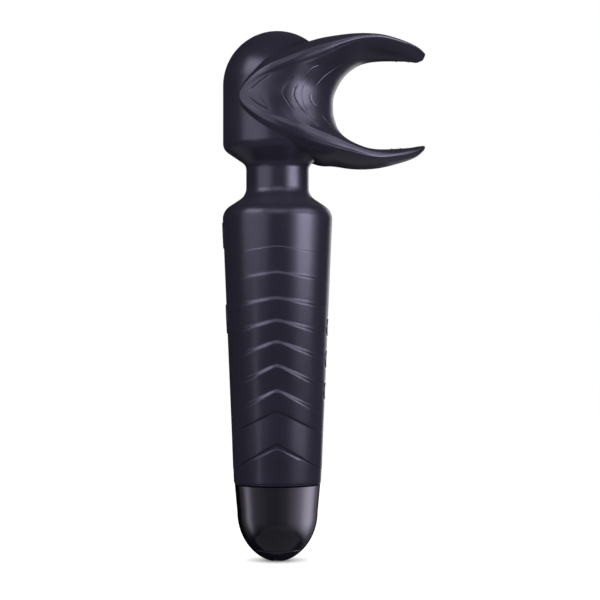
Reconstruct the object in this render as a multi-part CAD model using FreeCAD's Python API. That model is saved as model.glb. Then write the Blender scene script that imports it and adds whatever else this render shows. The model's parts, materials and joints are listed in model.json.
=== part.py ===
"""Handheld wand massager: a silicone-covered wand whose round head carries a U-shaped cradle.

Millimetres. The origin is the middle of the small flat foot under the end cap, +Z runs up the wand,
and +X is the side that the cradle opens to and the buttons face. The model is mirror-symmetric in Y,
apart from the turning parts of the motor and the wiring.
"""
import FreeCAD, Part
import math
import os

V = FreeCAD.Vector

# ---------------------------------------------------------------- driving dimensions
TOTAL_HEIGHT = 209.7
HEAD_RADIUS = 21.6
NECK_RADIUS = 12.4
SKIN = 1.8                 # silicone thickness
WALL = 1.6                 # moulded plastic wall
FIT = 0.05                 # gap between mouldings nested in one body
BODY_GAP = 0.1             # gap where the silicone is divided between two bodies

# outline of the wand, as corner radius and height of each corner, and the size of its rounding
GRIP_FOOT_R, GRIP_FOOT_Z = 17.3, 30.6
SHOULDER_R, SHOULDER_Z, SHOULDER_ROUND = 22.0, 138.4, 6.0
NECK_FOOT_Z, NECK_FOOT_ROUND = 144.7, 5.7
NECK_TOP_Z, NECK_TOP_ROUND = 156.7, 3.6
HEAD_FOOT_Z, HEAD_FOOT_ROUND = 163.0, 4.0
DOME_Z = TOTAL_HEIGHT - HEAD_RADIUS

# flexible neck: the skin between these heights bends, about two crossed axes
NECK_SKIN_Z = (143.2, 159.4)
SPRING_RADIUS, SPRING_WIRE = 7.6, 0.9
SPRING_Z = (142.1, 161.0)
SPRING_PITCH = 2.7
SOCKET_RADIUS = 10.2
LOWER_FLANGE_R, UPPER_FLANGE_R = 15.9, 16.0
LOWER_SOCKET_Z = (134.6, 137.8, 146.0)    # flange bottom, flange top, rim of the cup
UPPER_SOCKET_Z = (157.0, 164.0, 166.5)    # rim of the cup, flange bottom, flange top
LEAD_BORE = 5.0
SPRING_CLEARANCE = 0.2

# cradle: a saddle round the head that runs out into two wings, about a level middle plane
CRADLE_Z = 182.2
COLLAR_RADIUS = 23.2
WING_ROOT_X = 27.0
COLLAR_END_X = 26.0
COLLAR_RIM = ((-15.2, 0.0), (-8.0, 7.8), (0.0, 12.6), (13.5, 19.0), (COLLAR_END_X, 23.2))
THROAT_X = 22.0
# along X: half width, rise of the rim, of the outer crown, and of the upper and lower inner crowns
WING_STATIONS = (
    (27.0, 17.3, 21.8, 26.7, 11.7, 13.9),
    (33.0, 15.4, 23.3, 27.0, 14.7, 17.4),
    (39.0, 13.2, 23.8, 26.7, 15.7, 19.0),
    (46.0, 10.2, 22.9, 25.3, 15.8, 18.9),
    (52.0, 7.2, 21.4, 23.2, 15.4, 18.5),
    (56.5, 4.0, 19.2, 20.9, 15.1, 18.2),
    (58.3, 1.5, 17.8, 18.8, 15.8, 17.9),
)
RIM_THICKNESS = 2.2
KNUCKLE_GAP = 0.3

# handle internals
SPIGOT_R, SPIGOT_BORE, SPIGOT_Z = 14.4, 11.9, 24.0
CHASSIS_TOP_Z = 141.5
SOCKET_LEDGE_Z, SOCKET_LEDGE_BORE = (132.4, 134.5), 13.5
SCREW_PLACES = ((8.5, 38.0), (-8.5, 38.0), (9.5, 128.0), (-9.5, 128.0))     # Y and Z
SCREW_R, SCREW_HEAD_R, SCREW_HEAD_H, BOSS_R = 1.1, 2.1, 1.6, 2.9
SCREW_HEAD_X = -9.6
SCREW_LENGTH = 16.0
DRIVE_RECESS_R, DRIVE_RECESS_DEPTH = 0.8, 1.0
SPLIT_HALF_GAP = 0.02
CELL_R, CELL_X, CELL_Z = 9.15, -3.6, (46.0, 111.0)
CUSHION_H = 1.8
TAB_T, TAB_WIDTH, TAB_FOOT = 0.3, 5.0, 4.0     # nickel strip: thickness, width, length of the soldered foot
BOARD_X, BOARD_HALF_W, BOARD_Z, BOARD_T = 8.0, 8.0, (52.0, 124.0), 1.6
LEAD_R = 0.6
LEAD_Y = 2.0
# parts on the board's face, as Y span, Z span and height above the board
CONTROLLER = ((-3.5, 3.5), (104.0, 111.0), 1.0)
CHARGER = ((-2.5, 2.5), (57.0, 61.0), 0.9)
COIL = ((3.2, 7.2), (56.0, 60.0), 2.2)
CAPACITOR_COUNT, CAPACITOR_PITCH = 5, 3.0
CAPACITOR = ((-6.4, -4.8), (100.0, 101.0), 0.7)

# buttons on the +X side
BUTTON_Z = {"button_up": 92.5, "button_power": 79.9, "button_down": 67.3}
BUTTON_TALL, BUTTON_WIDE = 7.0, 9.0
BUTTON_PROUD, BUTTON_CLEARANCE = 0.2, 0.35
CAP_THICKNESS = 1.05
STEM_R, STEM_HOLE_R, STEM_TIP_X = 1.6, 2.0, 13.9
STEM_FLANGE_R, STEM_FLANGE_X = 2.5, (14.3, 14.8)
SWITCH_SIDE, SWITCH_H, PLUNGER_R, PLUNGER_H = 6.0, 3.1, 1.7, 0.6

# end cap and foot
CAP_TOP_Z = 30.4
CAP_TOP_R = 16.95
CAP_WALL = 1.8
FOOT_CENTRE_Z, FOOT_A, FOOT_B = 19.0, 15.95, 19.35     # the ellipse that closes the cap
INSERT_R = 10.3
SEAL_Z, SEAL_R, SEAL_WIRE = 28.0, 13.95, 0.85
CONTACT_Y, CONTACT_R = 3.5, 1.3
MAGNET_X, MAGNET_R, MAGNET_Z = 5.0, 2.4, (5.0, 6.9)
CHARGE_BOARD_Z, CHARGE_BOARD_R = (7.2, 8.2), 8.6
CONTACT_TIP_Z = 1.2
INSERT_TOP_Z, SKIRT_R, SKIRT_Z = 9.0, 8.9, 5.2
CHARGE_LEAD_X = 3.0

# head internals
HEAD_SHELL_Z, HEAD_FLOOR_Z, SHELL_SPLIT_Z = 158.8, 162.0, 185.0
SHELL_LIP = 1.2            # thickness of the upper shell's locating lip
CAGE_BORE = 7.0
CAGE_Z = (166.6, 168.6, 188.0)
CAGE_R = (14.6, 16.2, 17.6)
CAGE_SCREW_RING, CAGE_SCREW_R, CAGE_SCREW_TIP_Z = 13.0, 0.9, 160.8
CAGE_SCREW_HEAD_R, CAGE_SCREW_HEAD_H = 1.5, 1.3
DAMPER_R, DAMPER_Z = 14.5, (170.2, 188.0)
MOTOR_R, MOTOR_Z = 12.0, (174.0, 193.0)
CAN_WALL, CAN_BOSS_R, CAN_BOSS_H = 0.7, 4.0, 1.2
BELL_Z, BEARING_R = (172.2, 174.0), 3.6
TERMINAL_WIDTH, TERMINAL_T = 2.4, 0.5
TERMINAL_Y, TERMINAL_Z = 4.5, 170.0
SHAFT_R, SHAFT_Z = 1.5, (176.5, 202.0)
RUNNING_GAP = 0.05
MAGNET_RING, MAGNET_RING_Z, MAGNET_GAP = (9.3, 11.25), (177.0, 190.5), 5.0
ARMATURE_R, ARMATURE_Z = 8.6, (178.0, 189.0)
SLOT_COUNT, SLOT_FLOOR_R, SLOT_WIDTH = 3, 3.6, 1.6
WEIGHT_R, WEIGHT_Z, WEIGHT_HUB_R = 12.5, (195.5, 200.5), 3.6


# ---------------------------------------------------------------- geometry helpers
def inset_outline(corners, inset):
    """Move an outline of (radius, height, rounding) corners inwards, towards the axis."""
    lines = []
    for (r0, z0, _), (r1, z1, _) in zip(corners, corners[1:]):
        length = math.hypot(r1 - r0, z1 - z0)
        ur, uz = (r1 - r0) / length, (z1 - z0) / length
        lines.append((r0 - inset * uz, z0 + inset * ur, ur, uz))
    moved = [(lines[0][0], lines[0][1], 0.0)]
    for (r0, z0, ur, uz), (r1, z1, vr, vz), corner in zip(lines, lines[1:], corners[1:]):
        turn = ur * vz - uz * vr
        along = ((r1 - r0) * vz - (z1 - z0) * vr) / turn
        rounding = corner[2] - inset if turn > 0 else corner[2] + inset
        moved.append((r0 + along * ur, z0 + along * uz, max(rounding, 0.3)))
    last = lines[-1]
    length = math.hypot(corners[-1][0] - corners[-2][0], corners[-1][1] - corners[-2][1])
    moved.append((last[0] + length * last[2], last[1] + length * last[3], 0.0))
    return moved


def rounded_edges(corners):
    """Line and arc edges through (radius, height, rounding) corners, in the XZ plane."""
    edges = []
    start = V(corners[0][0], 0, corners[0][1])
    for before, corner, after in zip(corners, corners[1:], corners[2:]):
        point = V(corner[0], 0, corner[1])
        back = (V(before[0], 0, before[1]) - point).normalize()
        ahead = (V(after[0], 0, after[1]) - point).normalize()
        half = back.getAngle(ahead) / 2
        reach = corner[2] / math.tan(half)
        middle = (back + ahead).normalize() * (corner[2] / math.sin(half) - corner[2])
        edges.append(Part.LineSegment(start, point + back * reach).toShape())
        edges.append(Part.Arc(point + back * reach, point + middle, point + ahead * reach).toShape())
        start = point + ahead * reach
    edges.append(Part.LineSegment(start, V(corners[-1][0], 0, corners[-1][1])).toShape())
    return edges


def line(a, b):
    return Part.LineSegment(a, b).toShape()


def revolve(edges):
    """Solid of revolution about Z of an outline that starts and ends at some radius or on the axis."""
    bottom, top = edges[0].firstVertex().Point, edges[-1].lastVertex().Point
    closing = []
    if top.x > 1e-6:
        closing.append(line(top, V(0, 0, top.z)))
    closing.append(line(V(0, 0, top.z), V(0, 0, bottom.z)))
    if bottom.x > 1e-6:
        closing.append(line(V(0, 0, bottom.z), bottom))
    face = Part.Face(Part.Wire(Part.__sortEdges__(edges + closing)))
    return face.revolve(V(0, 0, 0), V(0, 0, 1), 360)


def tube(r_in, r_out, z0, z1):
    outer = Part.makeCylinder(r_out, z1 - z0, V(0, 0, z0))
    return outer.cut(Part.makeCylinder(r_in, z1 - z0, V(0, 0, z0)))


def disc(radius, z0, z1, x=0.0, y=0.0):
    return Part.makeCylinder(radius, z1 - z0, V(x, y, z0))


def rod_x(radius, x0, x1, y, z):
    return Part.makeCylinder(radius, x1 - x0, V(x0, y, z), V(1, 0, 0))


def box(x0, x1, y0, y1, z0, z1):
    return Part.makeBox(x1 - x0, y1 - y0, z1 - z0, V(x0, y0, z0))


def slab(shape, z0, z1):
    """The part of a shape between two heights."""
    return shape.common(box(-90, 90, -90, 90, z0, z1))


def pill_x(tall, wide, x0, x1, z):
    """A rounded bar along X, with round ends towards +Y and -Y."""
    r = tall / 2
    reach = wide / 2 - r
    body = box(x0, x1, -reach, reach, z - r, z + r)
    return body.fuse([rod_x(r, x0, x1, -reach, z), rod_x(r, x0, x1, reach, z)]).removeSplitter()


def bent_tube(points, radius):
    """A round lead along straight runs joined by tangent arcs."""
    edges = []
    start = points[0]
    for before, corner, after in zip(points, points[1:], points[2:]):
        back, ahead = (before - corner), (after - corner)
        half = back.getAngle(ahead) / 2
        reach = 0.45 * min(back.Length, ahead.Length)
        bend = reach * math.tan(half)
        back, ahead = back.normalize(), ahead.normalize()
        middle = (back + ahead).normalize() * (bend / math.sin(half) - bend)
        edges.append(line(start, corner + back * reach))
        edges.append(Part.Arc(corner + back * reach, corner + middle, corner + ahead * reach).toShape())
        start = corner + ahead * reach
    edges.append(line(start, points[-1]))
    path = Part.Wire(edges)
    section = Part.Wire(Part.Circle(points[0], points[1] - points[0], radius).toShape())
    return path.makePipeShell([section], True, False)


# ---------------------------------------------------------------- the wand's shared outline
TAPER = (SHOULDER_R - GRIP_FOOT_R) / (SHOULDER_Z - GRIP_FOOT_Z)
BELOW_GRIP = 12.0


def grip_radius(z):
    return GRIP_FOOT_R + TAPER * (z - GRIP_FOOT_Z)


def wand_core(inset):
    """Everything inside the silicone's outer surface, moved inwards by inset."""
    corners = inset_outline([
        (grip_radius(GRIP_FOOT_Z - BELOW_GRIP), GRIP_FOOT_Z - BELOW_GRIP, 0),
        (SHOULDER_R, SHOULDER_Z, SHOULDER_ROUND),
        (NECK_RADIUS, NECK_FOOT_Z, NECK_FOOT_ROUND),
        (NECK_RADIUS, NECK_TOP_Z, NECK_TOP_ROUND),
        (HEAD_RADIUS, HEAD_FOOT_Z, HEAD_FOOT_ROUND),
        (HEAD_RADIUS, DOME_Z, 0),
    ], inset)
    r = HEAD_RADIUS - inset
    tip = V(0, 0, DOME_Z + r)
    shoulder = V(r * math.cos(math.pi / 4), 0, DOME_Z + r * math.sin(math.pi / 4))
    edges = rounded_edges(corners)
    edges.append(Part.Arc(edges[-1].lastVertex().Point, shoulder, tip).toShape())
    return revolve(edges)


OUTER = wand_core(0)
UNDER_SKIN = wand_core(SKIN)
CHASSIS_OUTER = wand_core(SKIN + FIT)
CHASSIS_INNER = wand_core(SKIN + FIT + WALL)


# ---------------------------------------------------------------- cradle
def extruded(edges, direction):
    face = Part.Face(Part.Wire(Part.__sortEdges__(edges)))
    return face.extrude(direction)


def collar_side():
    """The saddle seen from the side: a V round the head, open towards +X at the throat."""
    width = COLLAR_RADIUS + 2
    rims = []
    for sign in (1, -1):
        curve = Part.BSplineCurve()
        curve.interpolate([V(x, -width, CRADLE_Z + sign * h) for x, h in COLLAR_RIM])
        rims.append(curve.toShape())
    x_end, rise = COLLAR_RIM[-1]
    throat = {}
    for sign, column in ((1, 4), (-1, 5)):
        throat[sign] = V(COLLAR_END_X, -width, CRADLE_Z + sign * (WING_STATIONS[0][column] - 1))
    middle = V(THROAT_X, -width, CRADLE_Z)
    walls = [line(V(x_end, -width, CRADLE_Z + sign * rise), throat[sign]) for sign in (1, -1)]
    inner = Part.Arc(throat[1], middle, throat[-1]).toShape()
    return extruded(rims + walls + [inner], V(0, 2 * width, 0))


def collar_plan():
    """The saddle seen from above: round the head, then narrowing to the wing roots."""
    half_width = WING_STATIONS[0][1]
    x_leave = COLLAR_RIM[3][0]
    y_leave = math.sqrt(COLLAR_RADIUS ** 2 - x_leave ** 2)
    low = CRADLE_Z - 40
    near, far = V(x_leave, -y_leave, low), V(x_leave, y_leave, low)
    back = Part.Arc(near, V(-COLLAR_RADIUS, 0, low), far).toShape()
    tip_near, tip_far = V(WING_ROOT_X, -half_width, low), V(WING_ROOT_X, half_width, low)
    edges = [back, line(far, tip_far), line(tip_far, tip_near), line(tip_near, near)]
    return extruded(edges, V(0, 0, 80))


def hinge_height(side):
    """Height of a wing's hinge axis: halfway between its inner and outer crowns at the root."""
    _, _, _, outer, upper_inner, lower_inner = WING_STATIONS[0]
    inner = upper_inner if side > 0 else lower_inner
    return CRADLE_Z + side * (outer + inner) / 2


def knuckle(side, extra):
    """The round root that a wing bends on, grown by extra."""
    _, _, _, outer, upper_inner, lower_inner = WING_STATIONS[0]
    inner = upper_inner if side > 0 else lower_inner
    radius = (outer - inner) / 2 + 0.4 + extra
    length = 2 * COLLAR_RADIUS
    return Part.makeCylinder(radius, length, V(WING_ROOT_X, -length / 2, hinge_height(side)), V(0, 1, 0))


def wing_section(station, side):
    """Closed lens-shaped section across a wing, with a narrow rim at each edge."""
    x, half_width, rim, outer, upper_inner, lower_inner = station
    inner = upper_inner if side > 0 else lower_inner
    half_rim = min(RIM_THICKNESS / 2, (outer - inner) / 4)
    rim = min(max(rim, inner + half_rim), outer - half_rim)

    def at(y, rise):
        return V(x, y, CRADLE_Z + side * rise)

    out_far, out_near = at(half_width, rim + half_rim), at(-half_width, rim + half_rim)
    in_far, in_near = at(half_width, rim - half_rim), at(-half_width, rim - half_rim)
    return Part.Wire([
        Part.Arc(out_far, at(0, outer + 0.01), out_near).toShape(),
        line(out_near, in_near),
        Part.Arc(in_near, at(0, inner - 0.01), in_far).toShape(),
        line(in_far, out_far),
    ])


def wing(side):
    sections = [wing_section(station, side) for station in WING_STATIONS]
    arm = Part.makeLoft(sections, True, False)
    root = Part.Face(sections[0]).extrude(V(-10, 0, 0)).common(knuckle(side, 0))
    return arm.fuse(root).removeSplitter()


def head_skin():
    collar = collar_side().common(collar_plan())
    hood = slab(OUTER, NECK_SKIN_Z[1] + BODY_GAP, TOTAL_HEIGHT + 1)
    skin = hood.fuse(collar).cut(UNDER_SKIN)
    for side in (1, -1):
        skin = skin.cut(knuckle(side, KNUCKLE_GAP))
    return skin


# ---------------------------------------------------------------- skins of the neck and the grip
def neck_skin():
    return slab(OUTER.cut(UNDER_SKIN), *NECK_SKIN_Z)


def grip_skin():
    skin = slab(OUTER.cut(UNDER_SKIN), GRIP_FOOT_Z, NECK_SKIN_Z[0] - BODY_GAP)
    for z in BUTTON_Z.values():
        hole = pill_x(BUTTON_TALL + 2 * BUTTON_CLEARANCE, BUTTON_WIDE + 2 * BUTTON_CLEARANCE, 10, 30, z)
        skin = skin.cut(hole)
    return skin


# ---------------------------------------------------------------- neck
def socket(cup_z0, cup_z1, bore, floor_z, floor_h):
    cup = tube(SPRING_RADIUS + SPRING_WIRE + SPRING_CLEARANCE, SOCKET_RADIUS, cup_z0, cup_z1)
    return cup.fuse(tube(bore, SOCKET_RADIUS, floor_z, floor_z + floor_h))


def neck_lower_socket():
    bottom, top, rim = LOWER_SOCKET_Z
    flange = tube(LEAD_BORE, LOWER_FLANGE_R, bottom, top)
    floor_h = SPRING_Z[0] - top
    return flange.fuse(socket(top, rim, LEAD_BORE, top, floor_h)).removeSplitter()


def neck_upper_socket():
    rim, bottom, top = UPPER_SOCKET_Z
    flange = tube(LEAD_BORE, UPPER_FLANGE_R, bottom, top)
    screws = [disc(CAGE_SCREW_R, bottom, top, x, y) for x, y in cage_screw_places()]
    floor_h = bottom - SPRING_Z[1] - 0.1
    cup = socket(rim, bottom, LEAD_BORE, bottom - floor_h, floor_h)
    return flange.fuse(cup).cut(Part.makeCompound(screws)).removeSplitter()


def neck_spring():
    """Coil spring core of the neck, one round wire wound between the two sockets."""
    z0 = SPRING_Z[0] + SPRING_WIRE
    height = SPRING_Z[1] - SPRING_Z[0] - 2 * SPRING_WIRE
    helix = Part.makeHelix(SPRING_PITCH, height, SPRING_RADIUS)
    helix.translate(V(0, 0, z0))
    rise = math.atan2(SPRING_PITCH, 2 * math.pi * SPRING_RADIUS)
    start = V(SPRING_RADIUS, 0, z0)
    section = Part.Wire(Part.Circle(start, V(0, math.cos(rise), math.sin(rise)), SPRING_WIRE).toShape())
    return Part.Wire(helix).makePipeShell([section], True, True)


def motor_leads():
    leads = []
    x_board = BOARD_X + BOARD_T / 2
    for y in (-LEAD_Y, LEAD_Y):
        points = [V(x_board, y, BOARD_Z[1]), V(x_board, y, BOARD_Z[1] + 4),
                  V(1.0, y, LOWER_SOCKET_Z[0]), V(0.0, y, LOWER_SOCKET_Z[0] + 9),
                  V(0.0, y, UPPER_SOCKET_Z[1]), V(0.0, math.copysign(TERMINAL_Y, y), TERMINAL_Z - 2.5),
                  V(0.0, math.copysign(TERMINAL_Y, y), TERMINAL_Z)]
        leads.append(bent_tube(points, LEAD_R))
    return Part.makeCompound(leads)


# ---------------------------------------------------------------- handle internals
def chassis():
    """Both halves of the chassis as one moulding: wall, spigot, socket ledge and screw bosses."""
    wall = slab(CHASSIS_OUTER.cut(CHASSIS_INNER), GRIP_FOOT_Z, CHASSIS_TOP_Z)
    r_inner = grip_radius(GRIP_FOOT_Z) - SKIN - FIT - WALL
    spigot = tube(SPIGOT_BORE, SPIGOT_R, SPIGOT_Z, GRIP_FOOT_Z + 2)
    step = tube(SPIGOT_BORE, r_inner + 0.3, GRIP_FOOT_Z, GRIP_FOOT_Z + 2)
    ledge = slab(CHASSIS_OUTER, *SOCKET_LEDGE_Z).cut(disc(SOCKET_LEDGE_BORE, *SOCKET_LEDGE_Z))
    bosses = []
    for y, z in SCREW_PLACES:
        bosses.append(rod_x(BOSS_R, -30, 30, y, z).common(CHASSIS_OUTER))
    body = wall.fuse([spigot, step, ledge] + bosses)
    body = body.cut(disc(SOCKET_RADIUS + 0.1, LOWER_SOCKET_Z[1], CHASSIS_TOP_Z + 1))
    return body.cut(tube(SEAL_R - SEAL_WIRE - 0.05, SPIGOT_R + 1, SEAL_Z - 0.95, SEAL_Z + 0.95))


def chassis_front():
    half = CHASSIS.common(box(SPLIT_HALF_GAP, 40, -40, 40, 0, 200))
    for y, z in SCREW_PLACES:
        half = half.cut(rod_x(SCREW_R, -1, SCREW_HEAD_X + SCREW_LENGTH + 0.5, y, z))
    for z in BUTTON_Z.values():
        half = half.cut(rod_x(STEM_HOLE_R, 10, 30, 0, z))
    return half


def chassis_rear():
    half = CHASSIS.common(box(-40, -SPLIT_HALF_GAP, -40, 40, 0, 200))
    for y, z in SCREW_PLACES:
        half = half.cut(rod_x(SCREW_R + 0.1, -30, 1, y, z))
        half = half.cut(rod_x(SCREW_HEAD_R + 0.1, -30, SCREW_HEAD_X, y, z))
    return half


def chassis_screws():
    screws = []
    for y, z in SCREW_PLACES:
        top = SCREW_HEAD_X - SCREW_HEAD_H
        head = rod_x(SCREW_HEAD_R, top, SCREW_HEAD_X, y, z)
        shank = rod_x(SCREW_R, SCREW_HEAD_X, SCREW_HEAD_X + SCREW_LENGTH, y, z)
        recess = rod_x(DRIVE_RECESS_R, top, top + DRIVE_RECESS_DEPTH, y, z)
        screws.append(head.fuse(shank).cut(recess))
    return Part.makeCompound(screws)


def battery_cell():
    can = disc(CELL_R, *CELL_Z, x=CELL_X)
    return can.makeFillet(0.8, [e for e in can.Edges if len(e.Vertexes) == 1])


def battery_cushions():
    low_top, high_foot = CELL_Z[0] - TAB_T, CELL_Z[1] + TAB_T
    low = disc(CELL_R, low_top - CUSHION_H, low_top, x=CELL_X)
    high = disc(CELL_R, high_foot, high_foot + CUSHION_H, x=CELL_X)
    return Part.makeCompound([low, high])


def battery_tabs():
    """Nickel strips across the cell's ends, bent along the board's back where they are soldered."""
    half = TAB_WIDTH / 2
    x_back = BOARD_X - TAB_T
    low_z, high_z = CELL_Z[0] - TAB_T, CELL_Z[1] + TAB_T
    low = box(CELL_X - 4, BOARD_X, -half, half, low_z, CELL_Z[0])
    low_foot = box(x_back, BOARD_X, -half, half, low_z, BOARD_Z[0] + TAB_FOOT)
    high = box(CELL_X - 4, BOARD_X, -half, half, CELL_Z[1], high_z)
    high_foot = box(x_back, BOARD_X, -half, half, high_z - TAB_FOOT, high_z)
    return Part.makeCompound([low.fuse(low_foot).removeSplitter(), high.fuse(high_foot).removeSplitter()])


def control_board():
    return box(BOARD_X, BOARD_X + BOARD_T, -BOARD_HALF_W, BOARD_HALF_W, *BOARD_Z)


def board_part(y_span, z_span, height, z_shift=0.0):
    front = BOARD_X + BOARD_T
    z0, z1 = z_span
    return box(front, front + height, *y_span, z0 + z_shift, z1 + z_shift)


def board_chips():
    """The controller, the charger chip, a coil and a row of capacitors."""
    chips = [board_part(*chip) for chip in (CONTROLLER, CHARGER, COIL)]
    for k in range(CAPACITOR_COUNT):
        chips.append(board_part(*CAPACITOR, z_shift=k * CAPACITOR_PITCH))
    return Part.makeCompound(chips)


def tact_switches():
    front = BOARD_X + BOARD_T
    half = SWITCH_SIDE / 2
    switches = []
    for z in BUTTON_Z.values():
        case = box(front, front + SWITCH_H, -half, half, z - half, z + half)
        top = front + SWITCH_H
        switches.append(case.fuse(rod_x(PLUNGER_R, top, top + PLUNGER_H, 0, z)))
    return Part.makeCompound(switches)


def button(z):
    """A pill-shaped cap that follows the grip's surface, on a flanged stem."""
    proud = wand_core(-BUTTON_PROUD)
    back = grip_radius(z) - CAP_THICKNESS
    cap = pill_x(BUTTON_TALL, BUTTON_WIDE, back, 30, z).common(proud)
    stem = rod_x(STEM_R, STEM_TIP_X, back, 0, z)
    flange = rod_x(STEM_FLANGE_R, *STEM_FLANGE_X, 0, z)
    return cap.fuse([stem, flange]).removeSplitter()


# ---------------------------------------------------------------- end cap and foot
def cap_core(inset):
    """Everything inside the end cap's outer surface, moved inwards by inset."""
    a, b = FOOT_A - inset, FOOT_B - inset
    ellipse = Part.Ellipse(V(0, 0, FOOT_CENTRE_Z + b), V(a, 0, FOOT_CENTRE_Z), V(0, 0, FOOT_CENTRE_Z))
    foot_z = max(0.0, FOOT_CENTRE_Z - b)
    foot_r = a * math.sqrt(max(0.0, 1 - ((FOOT_CENTRE_Z - foot_z) / b) ** 2))
    low = V(foot_r, 0, foot_z)
    side = V(a, 0, FOOT_CENTRE_Z)
    ends = sorted((ellipse.parameter(low), ellipse.parameter(side)))
    bowl = Part.ArcOfEllipse(ellipse, *ends).toShape()
    top = V(CAP_TOP_R - inset, 0, CAP_TOP_Z)
    edges = [bowl, line(side, top), line(top, V(0, 0, CAP_TOP_Z)),
             line(V(0, 0, CAP_TOP_Z), V(0, 0, foot_z))]
    if foot_r > 1e-6:
        edges.append(line(V(0, 0, foot_z), low))
    return Part.Face(Part.Wire(Part.__sortEdges__(edges))).revolve(V(0, 0, 0), V(0, 0, 1), 360)


def end_cap():
    return cap_core(0).cut(cap_core(CAP_WALL)).cut(disc(INSERT_R, -1, INSERT_TOP_Z))


def base_insert():
    """The disc that closes the foot, with a skirt inside the cap and holes for the contacts."""
    radius = INSERT_R - 0.1
    bowl = cap_core(0).cut(cap_core(CAP_WALL)).common(disc(radius, -1, INSERT_TOP_Z))
    skirt = tube(SKIRT_R, radius, SKIRT_Z, INSERT_TOP_Z)
    pins = [disc(CONTACT_R + 0.02, -1, 12, 0, y) for y in (-CONTACT_Y, CONTACT_Y)]
    return bowl.fuse(skirt).cut(Part.makeCompound(pins)).removeSplitter()


def charge_contacts():
    pins = []
    for y in (-CONTACT_Y, CONTACT_Y):
        pins.append(disc(CONTACT_R, CONTACT_TIP_Z, CHARGE_BOARD_Z[0], 0, y))
    return Part.makeCompound(pins)


def charge_magnets():
    return Part.makeCompound([disc(MAGNET_R, *MAGNET_Z, x=x) for x in (-MAGNET_X, MAGNET_X)])


def charge_leads():
    leads = []
    x_board = BOARD_X + BOARD_T / 2
    for y in (-LEAD_Y, LEAD_Y):
        points = [V(CHARGE_LEAD_X, y, CHARGE_BOARD_Z[1]), V(CHARGE_LEAD_X, y, 22.0), V(x_board, y, 38.0),
                  V(x_board, y, BOARD_Z[0])]
        leads.append(bent_tube(points, LEAD_R))
    return Part.makeCompound(leads)


# ---------------------------------------------------------------- head internals
def cage_screw_places():
    turns = [math.radians(a) for a in (30, 150, 270)]
    return [(CAGE_SCREW_RING * math.cos(a), CAGE_SCREW_RING * math.sin(a)) for a in turns]


def head_shell_lower():
    wall = slab(CHASSIS_OUTER.cut(CHASSIS_INNER), HEAD_SHELL_Z, SHELL_SPLIT_Z)
    floor = slab(CHASSIS_OUTER, HEAD_FLOOR_Z, UPPER_SOCKET_Z[1] - FIT)
    shell = wall.fuse(floor).cut(disc(SOCKET_RADIUS + 0.1, HEAD_SHELL_Z - 5, HEAD_FLOOR_Z + 5))
    pilot_z = CAGE_SCREW_TIP_Z - 0.2
    holes = [disc(CAGE_SCREW_R, pilot_z, HEAD_FLOOR_Z + 5, x, y) for x, y in cage_screw_places()]
    return shell.cut(Part.makeCompound(holes))


def head_shell_upper():
    """The dome, with a lip that drops inside the lower shell's wall."""
    dome = slab(CHASSIS_OUTER.cut(CHASSIS_INNER), SHELL_SPLIT_Z + FIT, TOTAL_HEIGHT)
    lip_r = HEAD_RADIUS - SKIN - FIT - WALL - FIT
    lip = tube(lip_r - SHELL_LIP, lip_r, SHELL_SPLIT_Z - 3, SHELL_SPLIT_Z + 1)
    lip_root = tube(lip_r - SHELL_LIP, lip_r + 0.5, SHELL_SPLIT_Z + FIT, SHELL_SPLIT_Z + 2)
    return dome.fuse([lip, lip_root]).removeSplitter()


def motor_cage():
    bottom, top, rim = CAGE_Z
    floor = tube(CAGE_BORE, CAGE_R[2], bottom, top)
    wall = tube(CAGE_R[0], CAGE_R[1], top, rim)
    holes = [disc(CAGE_SCREW_R + 0.1, bottom, top, x, y) for x, y in cage_screw_places()]
    return floor.fuse(wall).cut(Part.makeCompound(holes)).removeSplitter()


def motor_cage_screws():
    screws = []
    for x, y in cage_screw_places():
        shank = disc(CAGE_SCREW_R, CAGE_SCREW_TIP_Z, CAGE_Z[1], x, y)
        head = disc(CAGE_SCREW_HEAD_R, CAGE_Z[1], CAGE_Z[1] + CAGE_SCREW_HEAD_H, x, y)
        screws.append(shank.fuse(head))
    return Part.makeCompound(screws)


def motor_damper():
    sleeve = tube(MOTOR_R + FIT, DAMPER_R, BELL_Z[0], DAMPER_Z[1])
    return sleeve.fuse(tube(CAGE_BORE, DAMPER_R, DAMPER_Z[0], BELL_Z[0])).removeSplitter()


def motor_can():
    """Drawn steel can, open below, with a bearing boss that the shaft comes out of."""
    foot, top = MOTOR_Z
    outside = disc(MOTOR_R, foot, top).fuse(disc(CAN_BOSS_R, top, top + CAN_BOSS_H))
    hollow = disc(MOTOR_R - CAN_WALL, foot, top - 2 * CAN_WALL)
    bore = disc(SHAFT_R + RUNNING_GAP, top - 2, top + 2)
    return outside.cut(hollow).cut(bore).removeSplitter()


def motor_end_bell():
    plate = disc(MOTOR_R - 0.1, *BELL_Z)
    bearing = tube(SHAFT_R + RUNNING_GAP, BEARING_R, BELL_Z[1], SHAFT_Z[0] + 1.0)
    seat = disc(BEARING_R, BELL_Z[1], SHAFT_Z[0] - 0.6)
    half_w, half_t = TERMINAL_WIDTH / 2, TERMINAL_T / 2
    terminals = []
    for y in (-TERMINAL_Y, TERMINAL_Y):
        terminals.append(box(-half_w, half_w, y - half_t, y + half_t, TERMINAL_Z, BELL_Z[0]))
    return plate.fuse([bearing, seat] + terminals).removeSplitter()


def motor_magnets():
    """Two arc magnets inside the can."""
    half = MAGNET_GAP / 2
    return tube(*MAGNET_RING, *MAGNET_RING_Z).cut(box(-half, half, -20, 20, *MAGNET_RING_Z))


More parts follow.
